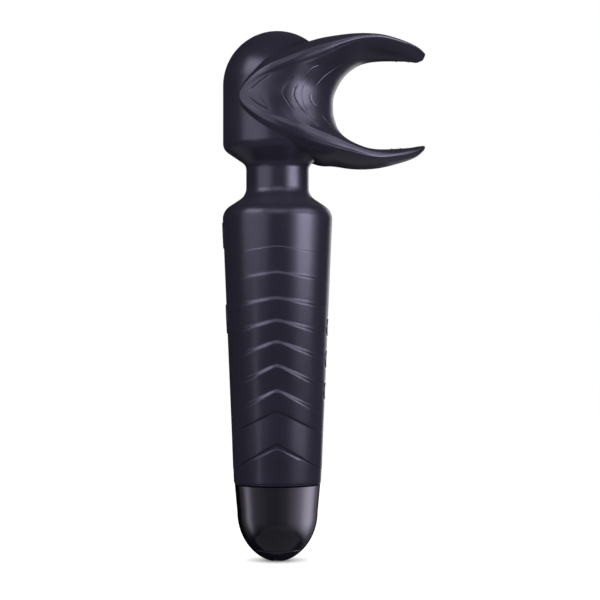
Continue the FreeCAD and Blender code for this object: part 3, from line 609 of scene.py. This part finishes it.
# stations from the middle of the saddle to the wing's tip: the near rim's crest (x, y, upper rise, lower
# rise), the spine (x, upper rise, lower rise), the outer crown (x, upper rise, lower rise), the upper and
# lower width of the rounded land inside the crest, its drop and its swell, and how far the wall outside
# the crest reaches out and in
STATIONS = (
    (-14.7, 18.4, 0.0, 0.0, 22.0, 0.0, 0.0, 3.0, 0.0, 0.0, 1.3, 1.3, 0.05, 0.0, 2.7, 2.9),
    (-10.9, 20.6, 5.7, 5.8, 22.15, 2.6, 3.2, 4.0, 6.0, 6.0, 2.0, 2.0, 0.05, 0.05, 2.9, 2.8),
    (-3.0, 23.4, 10.8, 11.0, 22.8, 5.0, 6.0, 7.0, 13.0, 13.0, 3.4, 3.4, 0.1, 0.15, 2.9, 2.8),
    (5.0, 24.1, 14.1, 14.6, 23.7, 7.0, 8.8, 10.5, 18.7, 19.5, 4.4, 4.6, 0.2, 0.25, 2.8, 3.6),
    (12.9, 22.8, 17.4, 18.1, 25.2, 9.5, 11.4, 16.0, 23.2, 24.9, 4.8, 5.0, 0.3, 0.3, 2.0, 3.8),
    (20.8, 20.6, 20.0, 20.5, 27.6, 12.0, 14.2, 21.5, 25.0, 25.6, 4.0, 4.8, 0.4, 0.3, 1.3, 2.8),
    (28.0, 17.8, 22.1, 22.2, 31.5, 14.1, 17.2, 28.0, 26.0, 26.6, 1.9, 3.2, 0.5, 0.25, 0.8, 1.8),
    (35.0, 15.0, 23.5, 23.5, 36.5, 15.5, 19.0, 35.0, 26.2, 26.9, 1.4, 2.1, 0.5, 0.15, 0.6, 1.4),
    (41.0, 12.5, 23.8, 23.8, 41.8, 15.9, 19.3, 41.0, 25.5, 26.3, 1.2, 1.7, 0.4, 0.1, 0.5, 1.2),
    (48.6, 9.0, 22.4, 22.4, 48.6, 15.8, 18.9, 48.6, 24.0, 24.5, 1.1, 1.4, 0.3, 0.1, 0.4, 1.0),
    (54.0, 6.0, 20.8, 20.8, 53.6, 15.4, 18.4, 53.8, 22.1, 22.8, 1.0, 1.1, 0.2, 0.05, 0.3, 0.8),
    (56.6, 4.2, 19.5, 19.5, 55.6, 15.3, 18.0, 56.2, 20.8, 21.4, 0.9, 0.9, 0.2, 0.05, 0.3, 0.7),
    (58.3, 2.2, 18.3, 18.5, 57.3, 16.0, 17.8, 58.0, 19.3, 19.7, 0.6, 0.6, 0.1, 0.0, 0.2, 0.4),
)
UPPER_ONLY, LOWER_ONLY = (2, 5, 8, 10), (3, 6, 9, 11)  # columns that hold for one wing
RISES = (2, 4, 6)  # columns of the three rises, once the other wing's are left out
SADDLE_END = 5  # station where the saddle ends and the wing starts
SADDLE_ROWS, WING_ROWS = 190, 90  # rows from the middle to the saddle's end, and on to the tip
INNER_COLUMNS, LAND_COLUMNS, WALL_COLUMNS, OUTER_COLUMNS = 180, 22, 6, 22
BEND_POINTS, CREST_POINTS = 4, 6  # points of a rounded corner, and of the one at the crest
CREST_ROUND, LAND_ROUND, FOOT_ROUND = 0.8, 0.7, 0.6
FULL_LAND = 3.0  # width of the land from which the corners are rounded in full
OUTER_START, OUTER_END = 0.05, 0.5  # reach of the outer curve's two handles, as shares of the crest's y
RIDGE, RIDGE_TURN = 1.3, 0.49  # height and half width, in radians, of the swell down the near side
RIM_SUNK, SADDLE_SUNK = 0.4, 1.9  # how far the middle of the saddle lies below the wings' middle
SUNK_X = (22.0, 34.0)  # the spine's x between which that fades out
WINGWARD_X = (12.0, 30.0)  # the crest's x between which its wall turns from outwards to sideways
BACK_DEPTH = 1.2  # how deep the saddle's back may lie under the head's surface
APEX_BLUR = 12  # rows over which the corner at the middle of the saddle is rounded
TIP_RINGS, TIP_BULGE = 6, 0.28

# fine lines moulded into the saddle, as (x, rise) along each; a negative depth cuts in
CREASES = (
    (-0.30, ((-10.9, 0.6), (-8.4, 2.6), (-5.3, 4.9), (-2.1, 6.8))),
    (-0.26, ((-10.8, -1.4), (-8.7, -3.3), (-5.6, -5.4), (-2.3, -7.0))),
    (-0.14, ((-5.9, -0.1), (-5.5, -2.5), (-4.1, -4.7), (-2.3, -6.9))),
    (-0.20, ((6.5, 6.0), (4.1, 3.6), (2.3, 0.0), (3.9, -3.3), (6.5, -7.0))),
    (-0.24, ((8.2, 3.2), (6.5, -0.4), (8.2, -4.4), (11.7, -8.6))),
    (0.12, ((17.0, 11.0), (12.9, 8.7), (11.1, 6.0))),
    (0.12, ((10.9, 4.9), (9.6, 0.1), (10.0, -3.7), (11.7, -7.7), (13.8, -10.4), (17.0, -13.0))),
    (-0.20, ((13.4, 0.5), (13.0, -1.1), (15.6, -5.0))),
    (-0.16, ((16.7, -7.1), (19.4, -10.0), (21.5, -12.1), (24.8, -14.8), (29.0, -17.4))),
    (0.14, ((15.0, 2.7), (17.1, 5.7), (21.2, 9.5), (27.0, 13.6))),
)
CREASE_HALF_WIDTH, CREASE_PITCH = 0.17, 0.12
CREASE_REACH = 4 * CREASE_HALF_WIDTH
CREASE_FADE = 2.0  # length over which a line dies out at each end
CREASE_NEIGHBOURS, NEAR_ENOUGH = 4, 0.02  # points of the surface that say how far out a line lies
LINED_COLUMNS = INNER_COLUMNS + 12  # the inner surface and the start of the land
# low ribs across the inside of the tips, as (x, upper or lower)
TIP_RIBS = ((47.3, 1), (52.0, 1), (45.2, -1), (48.7, -1))
RIB_RISE, RIB_HALF_WIDTH, RIB_REACH, RIB_FADE = 0.22, 0.28, 3.0, 0.7


def cradle_rows():
    """Section controls of every row, from the lower tip to the upper one, and the middle row's number."""
    upper = np.delete(np.array(STATIONS), LOWER_ONLY, axis=1)
    lower = np.delete(np.array(STATIONS), UPPER_ONLY, axis=1)[::-1]
    lower[:, RISES] *= -1
    table = np.vstack([lower[:-1], upper])
    centre = (table[:, [0, 2]] + table[:, [3, 4]]) / 2
    knots = np.concatenate([[0], np.cumsum(np.linalg.norm(np.diff(centre, axis=0), axis=1))])
    half = len(STATIONS) - 1
    low_end, middle, high_end = knots[[half - SADDLE_END, half, half + SADDLE_END]]
    below = np.concatenate([np.linspace(0, low_end, WING_ROWS, endpoint=False),
                            np.linspace(low_end, middle, SADDLE_ROWS + 1)])
    above = np.concatenate([np.linspace(middle, high_end, SADDLE_ROWS, endpoint=False),
                            np.linspace(high_end, knots[-1], WING_ROWS)])
    return spline(knots, table, np.concatenate([below, above[1:]])), len(below) - 1


def bend_at(before, corner, after, size, count):
    """Points of a rounded corner, between places size away on each side."""
    start = corner + unit(before - corner) * size
    end = corner + unit(after - corner) * size
    t = np.linspace(0, 1, count)[None, :, None]
    start, corner, end = (v[:, None, :] for v in (start, corner, end))
    return start * (1 - t) ** 2 + 2 * corner * t * (1 - t) + end * t ** 2


def softened(rows):
    """Rows averaged with their neighbours, which rounds the inner corner at the middle of the saddle."""
    reach = np.arange(-3 * APEX_BLUR, 3 * APEX_BLUR + 1)
    weights = np.exp(-0.5 * (reach / APEX_BLUR) ** 2)
    padded = np.pad(rows, ((reach[-1], reach[-1]), (0, 0)), mode="reflect", reflect_type="odd")
    return sum(w * padded[k:k + len(rows)] for k, w in enumerate(weights / weights.sum()))


def cradle_sections(controls):
    """Half sections from the spine over the crest to the crown, in a frame where the near side is +y."""
    rim_x, rim_y, rim_h, spine_x, spine_h, crown_x, crown_h, land, drop, swell, out, inward = controls.T
    sunk = 1 - smoothstep(*SUNK_X, spine_x)
    rim_h, spine_h = rim_h - RIM_SUNK * sunk, spine_h - SADDLE_SUNK * sunk
    zero = 0 * rim_x
    crest = np.stack([rim_x, rim_y, rim_h], -1)
    spine = np.stack([spine_x, zero, spine_h], -1)
    crown = np.stack([crown_x, zero, crown_h], -1)
    along = unit(np.gradient(crest, axis=0))
    radial = unit(np.stack([rim_x, rim_y, zero], -1))
    sideways = np.array([0.0, 1.0, 0.0])
    to_wing = smoothstep(*WINGWARD_X, rim_x)[:, None]
    face = unit(radial * (1 - to_wing) + sideways * to_wing)
    across = unit(np.cross(along, face))
    across *= np.sign(np.sum(across * (spine - crest), axis=1, keepdims=True))
    ledge = softened(crest + across * land[:, None] - face * drop[:, None])
    foot = crest - across * out[:, None] - face * inward[:, None]

    # inner surface, from the spine to the land, wrapped round the wand's axis
    turn, reach = np.arctan2(ledge[:, 1], ledge[:, 0]), np.hypot(ledge[:, 0], ledge[:, 1])

    def wrapped(share):
        wrap = turn[:, None] * share
        ridge = RIDGE * np.exp(-((wrap - math.pi / 2) / RIDGE_TURN) ** 2) * (1 - share ** 4)
        far = spine_x[:, None] + (reach - spine_x)[:, None] * share ** 2 + ridge
        rise = spine_h[:, None] + (ledge[:, 2] - spine_h)[:, None] * share ** 2
        return np.stack([far * np.cos(wrap), far * np.sin(wrap), rise], -1)

    size = np.minimum(1.0, land / FULL_LAND)[:, None]
    even = np.linspace(0, 1, INNER_COLUMNS)[None, :]
    length = np.linalg.norm(np.diff(wrapped(even), axis=1), axis=-1).sum(1)[:, None]
    inner = wrapped(even * (1 - LAND_ROUND * size / length))

    land_bend = bend_at(inner[:, -2], ledge, crest, LAND_ROUND * size, BEND_POINTS)
    crest_bend = bend_at(ledge, crest, foot, CREST_ROUND * size, CREST_POINTS)
    outer_start = foot + unit(foot - crest) * OUTER_START * rim_y[:, None]
    outer_end = crown + sideways * OUTER_END * rim_y[:, None]
    foot_bend = bend_at(crest, foot, outer_start, FOOT_ROUND * size, BEND_POINTS)

    def run(a, b, count):
        s = np.linspace(0, 1, count + 2)[None, 1:-1, None]
        return a[:, None, :] * (1 - s) + b[:, None, :] * s

    s = np.linspace(0, 1, OUTER_COLUMNS + 1)[None, 1:, None]
    p0, p1, p2, p3 = (v[:, None, :] for v in (foot_bend[:, -1], outer_start, outer_end, crown))
    outer = p0 * (1 - s) ** 3 + 3 * p1 * s * (1 - s) ** 2 + 3 * p2 * s ** 2 * (1 - s) + p3 * s ** 3
    # the hidden back keeps close under the head's surface, clear of the motor
    held_out = wand_radius(outer[..., 2] + CRADLE_Z) - BACK_DEPTH
    from_axis = np.maximum(np.hypot(outer[..., 0], outer[..., 1]), TINY)
    outer[..., :2] *= np.maximum(held_out / from_axis, 1)[..., None]

    land_run = run(land_bend[:, -1], crest_bend[:, 0], LAND_COLUMNS)
    s = np.linspace(0, 1, LAND_COLUMNS + 2)[None, 1:-1, None]
    land_run = land_run + (face * swell[:, None])[:, None, :] * 4 * s * (1 - s)
    parts = [inner, land_bend[:, 1:], land_run, crest_bend,
             run(crest_bend[:, -1], foot_bend[:, 0], WALL_COLUMNS), foot_bend, outer]
    return np.concatenate(parts, axis=1)


def surface_normals(grid):
    """Unit normals of a grid of points, towards the open side of the saddle."""
    return unit(np.cross(np.gradient(grid, axis=1), np.gradient(grid, axis=0)))


def moulded_lines(sections):
    """Outward offset of each point of the near half sections from the creases and tip ribs."""
    rows, columns = sections.shape[:2]
    flat = sections[:, :LINED_COLUMNS].reshape(-1, 3)
    side_view = KDTree(len(flat))
    for index, (x, _, h) in enumerate(flat):
        side_view.insert((x, h, 0.0), index)
    side_view.balance()
    offset = np.zeros(len(flat))
    for depth, line in CREASES:
        line = np.array(line)
        knots = np.concatenate([[0], np.cumsum(np.linalg.norm(np.diff(line, axis=0), axis=1))])
        trace = spline(knots, line, np.arange(0, knots[-1], CREASE_PITCH))
        samples = KDTree(len(trace))
        for index, (x, h) in enumerate(trace):
            near = side_view.find_n((x, h, 0.0), CREASE_NEIGHBOURS)
            weights = np.array([1 / (gap + NEAR_ENOUGH) for _, _, gap in near])
            y = sum(weight * flat[i][1] for weight, (_, i, _) in zip(weights, near)) / weights.sum()
            samples.insert((x, y, h), index)
        samples.balance()
        seen = flat[:, [0, 2]]
        around = (seen > trace.min(0) - CREASE_REACH) & (seen < trace.max(0) + CREASE_REACH)
        for i in np.flatnonzero(around.all(axis=1)):
            _, index, gap = samples.find(flat[i])
            if gap < CREASE_REACH:
                end = min(index, len(trace) - 1 - index) * CREASE_PITCH
                offset[i] += depth * math.exp(-(gap / CREASE_HALF_WIDTH) ** 2) * min(1.0, end / CREASE_FADE)
    for x, side in TIP_RIBS:
        on_side = np.sign(flat[:, 2]) == side
        reach = 1 - smoothstep(RIB_REACH * RIB_FADE, RIB_REACH, np.abs(flat[:, 1]))
        offset += RIB_RISE * np.exp(-((flat[:, 0] - x) / RIB_HALF_WIDTH) ** 2) * reach * on_side
    full = np.zeros((rows, columns))
    full[:, :LINED_COLUMNS] = offset.reshape(rows, -1)
    return full


def tip_cap(ring, ahead, points, faces):
    """Close a wing's tip with a small dome over its last ring, whose points come last."""
    centre = ring.mean(axis=0)
    size = np.linalg.norm(ring - centre, axis=1).mean()
    previous = range(len(points) - len(ring), len(points))
    for k in range(1, TIP_RINGS):
        turn = math.pi / 2 * k / TIP_RINGS
        placed = centre + (ring - centre) * math.cos(turn) + ahead * size * TIP_BULGE * math.sin(turn)
        current = range(len(points), len(points) + len(ring))
        points = np.vstack([points, placed])
        faces += band_faces(previous, current)
        previous = current
    faces += fan_faces(previous, len(points))
    return np.vstack([points, centre + ahead * size * TIP_BULGE]), faces


def match_seam(half, seam_normals):
    """Give the first ring the whole cradle's normals, so that the two halves meet without a line."""
    normals = [vertex.normal.copy() for vertex in half.data.vertices]
    for index, normal in enumerate(seam_normals):
        shared = Vector(normal)
        normals[index] = shared if shared.dot(normals[index]) > 0 else -shared
    half.data.normals_split_custom_set_from_vertices(normals)


def cradle():
    controls, middle = cradle_rows()
    near = cradle_sections(controls)
    near = near + surface_normals(near) * moulded_lines(near)[:, :, None]
    near[:, :, 2] += CRADLE_Z
    far = near[:, -2:0:-1]
    near = near * np.array([1.0, -1.0, 1.0])
    loops = np.concatenate([near, far], axis=1)
    round_loop = np.concatenate([loops[:, -1:], loops, loops[:, :1]], axis=1)
    normals = unit(np.cross(np.gradient(loops, axis=0), np.gradient(round_loop, axis=1)[:, 1:-1]))
    for name, rows, wing, flip in (("cradle_lower", loops[:middle + 1][::-1], "lower_wing", False),
                                   ("cradle_upper", loops[middle:], "upper_wing", True)):
        ahead = unit(rows[-1].mean(0) - rows[-4].mean(0))
        faces = list(grid_faces(len(rows), rows.shape[1]))
        points, faces = tip_cap(rows[-1], ahead, rows.reshape(-1, 3), faces)
        half = add_mesh(name, points, faces, SILICONE, flip)
        match_seam(half, normals[middle])
        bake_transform(half)
        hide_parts(wing)


# ---- end cap
SEAM_GROOVE = 0.22  # gap of the ring seam round the insert
# the cap's edge at the seam, from the inside down, as (outwards, up) from where the foot's curve starts
SEAM_LIP = ((-0.05, CAP_WALL), (-0.05, 0.2), (0.04, 0.05))
CAP_EDGE = 0.35  # rounding round the top of the cap
RIM_DEPTH = 3.0  # how far the wall inside the top goes down
SIDE_START, EDGE_START = 0.06, 0.25  # first ring of the side, as a share, and of the edge, in radians
FOOT_RINGS, SIDE_RINGS, EDGE_RINGS = 72, 16, 5
INSERT_ROUND, INSERT_WALL, INSERT_RINGS = 0.25, 1.2, 40
# the insert's edge and side, as (outwards, up) from its radius and the end of its face
INSERT_EDGE = ((-0.08, 0.22), (0, 0.45), (0, 2.5))
CUTTER_Z, CUTTER_TALL, CUTTER_SIDES = 2, 8, 48


def cap_foot_height(radius):
    """Height of the cap's rounded foot at a distance from the axis."""
    reach = np.clip(radius / FOOT_A, 0, 1) ** FOOT_POWER
    return np.maximum(FOOT_CENTRE_Z - FOOT_B * (1 - reach) ** (1 / FOOT_POWER), 0.0)


def revolved(name, outline, material):
    """A surface of revolution of an outline of (radius, height) points."""
    outline = np.array(outline, float)
    faces = list(grid_faces(len(outline), FOOT_COLUMNS))
    if outline[0, 0] == 0:  # the first ring is a point on the axis
        second = range(2 * FOOT_COLUMNS - 1, FOOT_COLUMNS - 1, -1)
        faces = faces[FOOT_COLUMNS:] + fan_faces(second, 0)
    return add_mesh(name, ring_points(*outline.T, FOOT_COLUMNS), faces, material)


def end_cap():
    seam_turn = math.asin(((INSERT_R + SEAM_GROOVE) / FOOT_A) ** (FOOT_POWER / 2))
    foot = []
    for turn in np.linspace(seam_turn, math.pi / 2, FOOT_RINGS):
        radius = FOOT_A * math.sin(turn) ** (2 / FOOT_POWER)
        foot.append((radius, FOOT_CENTRE_Z - FOOT_B * math.cos(turn) ** (2 / FOOT_POWER)))
    seam_r, seam_z = foot[0]
    inside = [(seam_r + out, seam_z + up) for out, up in SEAM_LIP]
    edge_z = CAP_TOP_Z - CAP_EDGE
    side = [(FOOT_A + (CAP_TOP_R - FOOT_A) * t, FOOT_CENTRE_Z + (edge_z - FOOT_CENTRE_Z) * t)
            for t in np.linspace(SIDE_START, 1, SIDE_RINGS)]
    top = [(CAP_TOP_R - CAP_EDGE * (1 - math.cos(turn)), edge_z + CAP_EDGE * math.sin(turn))
           for turn in np.linspace(EDGE_START, math.pi / 2, EDGE_RINGS)]
    rim = [(CAP_TOP_R - CAP_WALL, CAP_TOP_Z), (CAP_TOP_R - CAP_WALL, CAP_TOP_Z - RIM_DEPTH)]
    cap = revolved("foot_cap", inside + foot + side + top + rim, CAP_GLOSS)
    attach(cap, "handle")
    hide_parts("end_cap")


def base_insert():
    """The disc that closes the foot, with two holes that the charging contacts show through."""
    radii = np.linspace(0, INSERT_R - INSERT_ROUND, INSERT_RINGS)
    outline = list(zip(radii, cap_foot_height(radii)))
    edge_z = outline[-1][1]
    outline += [(INSERT_R + out, edge_z + up) for out, up in INSERT_EDGE]
    insert = revolved("foot_insert", outline, CAP_GLOSS)
    thick = insert.modifiers.new("wall", "SOLIDIFY")
    thick.thickness = INSERT_WALL * MM
    thick.offset = -1
    cutters = []
    for y in (-CONTACT_Y, CONTACT_Y):
        bpy.ops.mesh.primitive_cylinder_add(
            vertices=CUTTER_SIDES, radius=CONTACT_HOLE_R * MM, depth=CUTTER_TALL * MM,
            location=(0, y * MM, CUTTER_Z * MM))
        cutters.append(bpy.context.object)
        cut = insert.modifiers.new("hole", "BOOLEAN")
        cut.object = cutters[-1]
        cut.solver = "EXACT"
    evaluated = insert.evaluated_get(bpy.context.evaluated_depsgraph_get())
    mesh = bpy.data.meshes.new_from_object(evaluated)
    insert.modifiers.clear()
    insert.data = mesh
    for cutter in cutters:
        bpy.data.objects.remove(cutter)
    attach(insert, "handle")
    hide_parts("base_insert")


# ---- buttons
EDGE_STEPS = 5  # steps of a button's rounded edge
DISH_SHARES = (0.92, 0.8, 0.66, 0.5, 0.34, 0.18, 0.06)  # rings of its dish, as shares of its outline
DISH_POWER = 0.8


def button_cap(name):
    """A glossy pill that follows the grip's curve, with a shallow dish for the fingertip."""
    middle_z = button_height(name)
    turn = circle(BUTTON_COLUMNS)
    half_tall, half_wide = BUTTON_TALL / 2, BUTTON_WIDE / 2
    edge = BUTTON_PROUD - BUTTON_ROUND
    # rings from the skirt to the dish, as outset, rise and share of the outline
    rows = [(0.0, -SKIN * BUTTON_SKIRT, 1.0), (0.0, edge, 1.0)]
    for k in range(1, EDGE_STEPS + 1):
        bend = math.pi / 2 * k / EDGE_STEPS
        rows.append((-BUTTON_ROUND * (1 - math.cos(bend)), edge + BUTTON_ROUND * math.sin(bend), 1.0))
    for share in DISH_SHARES:
        depth = BUTTON_DISH * (1 - share) ** DISH_POWER * (1 + share)
        rows.append((-BUTTON_ROUND, BUTTON_PROUD - depth, share))
    points = []
    radius = wand_radius(middle_z)
    for outset, rise, share in rows:
        across, up = pill_point(turn, half_tall + outset, half_wide + outset)
        points.append(on_wand(across * share / radius, middle_z + up * share, rise))
    points = np.vstack(points + [on_wand(0.0, middle_z, BUTTON_PROUD - BUTTON_DISH)])
    cap = add_mesh(name + "_cap", points, dome_faces(len(rows), BUTTON_COLUMNS), BUTTON_GLOSS)
    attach(cap, name)
    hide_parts(name)


# ---- studio, in metres
CAMERA_X, CAMERA_DISTANCE, CAMERA_Z = 0.00893, 0.645, 0.082
LENS, SENSOR, SHIFT_Y = 97.5, 36.0, 0.0895
AIM_Z = 0.11  # height that the soft boxes face
# soft boxes: name, azimuth from the camera's side towards +X and elevation in degrees, distance, width
# and height, and power in watts
SOFT_BOXES = (
    ("left_box", -48, -1, 0.9, 0.95, 0.64, 3.4),
    ("left_high_box", -55, 36, 0.9, 0.60, 0.42, 3.3),
    ("front_high_box", 0, 36, 0.9, 0.60, 0.42, 1.4),
    ("right_box", 60, 1, 0.9, 1.00, 0.55, 2.9),
    ("right_core", 59, 6.5, 0.89, 0.52, 0.38, 3.9),
    ("right_high_box", 62, 36, 0.9, 0.75, 0.42, 2.6),
    ("back_right_rim", 157, 4, 0.9, 0.35, 0.60, 0.85),
)
BOUNCE = ("bounce", 0, -89, 0.112, 0.5, 0.5, 0.15)
FOOT_FILL = ("foot_fill", 0, -62, 0.9, 2.2, 1.5, 1.9)
# brightness of the curved panel by azimuth
PANEL_LIGHT = ((-120, 0.02), (-108, 0.06), (-99, 0.22), (-91, 0.46), (-84, 0.38), (-76, 0.18), (-66, 0.11),
               (-45, 0.08), (-25, 0.05), (0, 0.045), (25, 0.08), (50, 0.24), (68, 0.46), (85, 0.85),
               (100, 0.90), (112, 0.60), (128, 0.12), (150, 0.02))
PANEL_TINT, PANEL_STRENGTH = (0.88, 0.84, 1.0), 5.0
PANEL_R, PANEL_Z, PANEL_FULL_Z = 0.9, (-0.75, 0.05), -0.2  # its glow is full above the last height
PANEL_AZIMUTHS = range(-125, 156, 5)
# glow of the floor, by distance from the axis as a share of the contact shadow's reach; the low glow near
# the axis is a painted contact shadow
FLOOR_GLOW_WITH_PAINTED_SHADOW = ((0.0, 0.06), (0.28, 0.33), (0.5, 0.62), (0.72, 0.90), (1.0, 1.0))
PAINTED_SHADOW_REACH = 0.019
FLOOR_R, FLOOR_RINGS, FLOOR_SIDES = 3.0, 24, 96


def add_camera():
    data = bpy.data.cameras.new("camera")
    data.lens = LENS
    data.sensor_width = SENSOR
    data.shift_y = SHIFT_Y
    camera = add_object("camera", data)
    camera.location = (CAMERA_X, -CAMERA_DISTANCE, CAMERA_Z)
    camera.rotation_euler = (math.pi / 2, 0, 0)
    bpy.context.scene.camera = camera


def softbox(name, azimuth, elevation, distance, width, height, power, receivers):
    """An area light that lights only what a collection of receivers says."""
    data = bpy.data.lights.new(name, "AREA")
    data.shape = "RECTANGLE"
    data.size, data.size_y = width, height
    data.energy = power
    light = add_object(name, data)
    az, el = math.radians(azimuth), math.radians(elevation)
    offset = Vector((math.sin(az) * math.cos(el), -math.cos(az) * math.cos(el), math.sin(el))) * distance
    light.location = Vector((0, 0, AIM_Z)) + offset
    light.rotation_euler = (-offset).to_track_quat("-Z", "Y").to_euler()
    light.visible_camera = False
    light.light_linking.receiver_collection = receivers


def linked_to(things, state):
    """A collection that limits a light to some things, or keeps it off them."""
    receivers = bpy.data.collections.new("light_" + state.lower())
    for thing in things:
        receivers.objects.link(thing)
    for entry in receivers.collection_objects:
        entry.light_linking.link_state = state
    return receivers


def add_studio():
    """Soft boxes for all but the glossy foot, a fill and a panel for the foot, and a white surround."""
    foot = [bpy.data.objects[name] for name in ("foot_cap", "foot_insert")]
    all_but_foot, only_foot = linked_to(foot, "EXCLUDE"), linked_to(foot, "INCLUDE")
    above_grip = linked_to(foot + [bpy.data.objects["grip_sleeve"]], "EXCLUDE")
    for box in SOFT_BOXES:
        softbox(*box, all_but_foot)
    softbox(*BOUNCE, above_grip)
    softbox(*FOOT_FILL, only_foot)
    foot_panel(only_foot)
    world = bpy.data.worlds.new("studio")
    bpy.context.scene.world = world
    world.use_nodes = True
    set_sockets(world.node_tree, world.node_tree.nodes["Background"], Color=(1, 1, 1, 1), Strength=1.0)
    world.cycles_visibility.diffuse = False
    world.cycles_visibility.glossy = False
    world.cycles_visibility.transmission = False


def foot_panel(receivers):
    """A curved screen round the foot whose glow grows from the front towards the right."""
    material, tree, shader, place = material_with("panel")
    turned = add_node(tree, "Mapping", Vector=place, Rotation=(0, 0, math.pi / 2))
    round_it = add_node(tree, "TexGradient", Vector=turned.outputs["Vector"])
    round_it.gradient_type = "RADIAL"
    stops = [(azimuth / 360 + 0.5, [glow * part for part in PANEL_TINT]) for azimuth, glow in PANEL_LIGHT]
    height = add_node(tree, "SeparateXYZ", Vector=place).outputs["Z"]
    fade = add_node(tree, "MapRange", Value=height, From_Min=PANEL_Z[0], From_Max=PANEL_FULL_Z,
                    To_Max=PANEL_STRENGTH)
    fade.interpolation_type = "SMOOTHSTEP"
    set_sockets(tree, shader, Base_Color=(0, 0, 0, 1), Emission_Strength=fade.outputs["Result"],
                Emission_Color=tint(tree, round_it.outputs["Fac"], stops))
    azimuth = np.radians(PANEL_AZIMUTHS)
    rows = [np.stack([np.sin(azimuth), -np.cos(azimuth), 0 * azimuth + z / PANEL_R], -1) for z in PANEL_Z]
    faces = grid_faces(2, len(azimuth), closed=False)
    panel = add_mesh("panel", np.concatenate(rows) * PANEL_R / MM, faces, material)
    panel.visible_camera = False
    panel.visible_shadow = False
    panel.light_linking.receiver_collection = receivers


def add_floor():
    """A large pale floor that only the camera sees, with a contact shadow painted into its glow where the
    foot stands.
    """
    material, tree, shader, place = material_with("floor")
    scaled = add_node(tree, "Mapping", Vector=place, Scale=(1 / PAINTED_SHADOW_REACH,) * 3)
    painted_shadow_ball = add_node(tree, "TexGradient", Vector=scaled.outputs["Vector"])
    painted_shadow_ball.gradient_type = "SPHERICAL"
    # the glow is lowest round the axis: a painted contact shadow under the foot
    stops = [(1 - reach, (glow, glow, glow)) for reach, glow in reversed(FLOOR_GLOW_WITH_PAINTED_SHADOW)]
    set_sockets(tree, shader, Roughness=0.9, Emission_Strength=1.0,
                Base_Color=two_tone(tree, noise(tree, place, 0.05), (0.30, 0.30, 0.30), (0.33, 0.33, 0.33)),
                Emission_Color=tint(tree, painted_shadow_ball.outputs["Fac"], stops))
    radii = FLOOR_R / MM * (np.arange(1, FLOOR_RINGS + 1) / FLOOR_RINGS) ** 2
    points = np.vstack([ring_points(radii, 0 * radii, FLOOR_SIDES), [[0, 0, 0]]])
    faces = list(grid_faces(FLOOR_RINGS, FLOOR_SIDES)) + fan_faces(range(FLOOR_SIDES), len(points) - 1)
    floor = add_mesh("floor", points, faces, material)
    floor.visible_glossy = False
    floor.visible_diffuse = False
    floor.visible_shadow = False


dress_cad_nodes()
grip_sleeve()
head_sleeve()
cradle()
end_cap()
base_insert()
for button in BUTTONS:
    button_cap(button)
add_camera()
add_studio()
add_floor()
bpy.context.scene.view_settings.view_transform = "Standard"
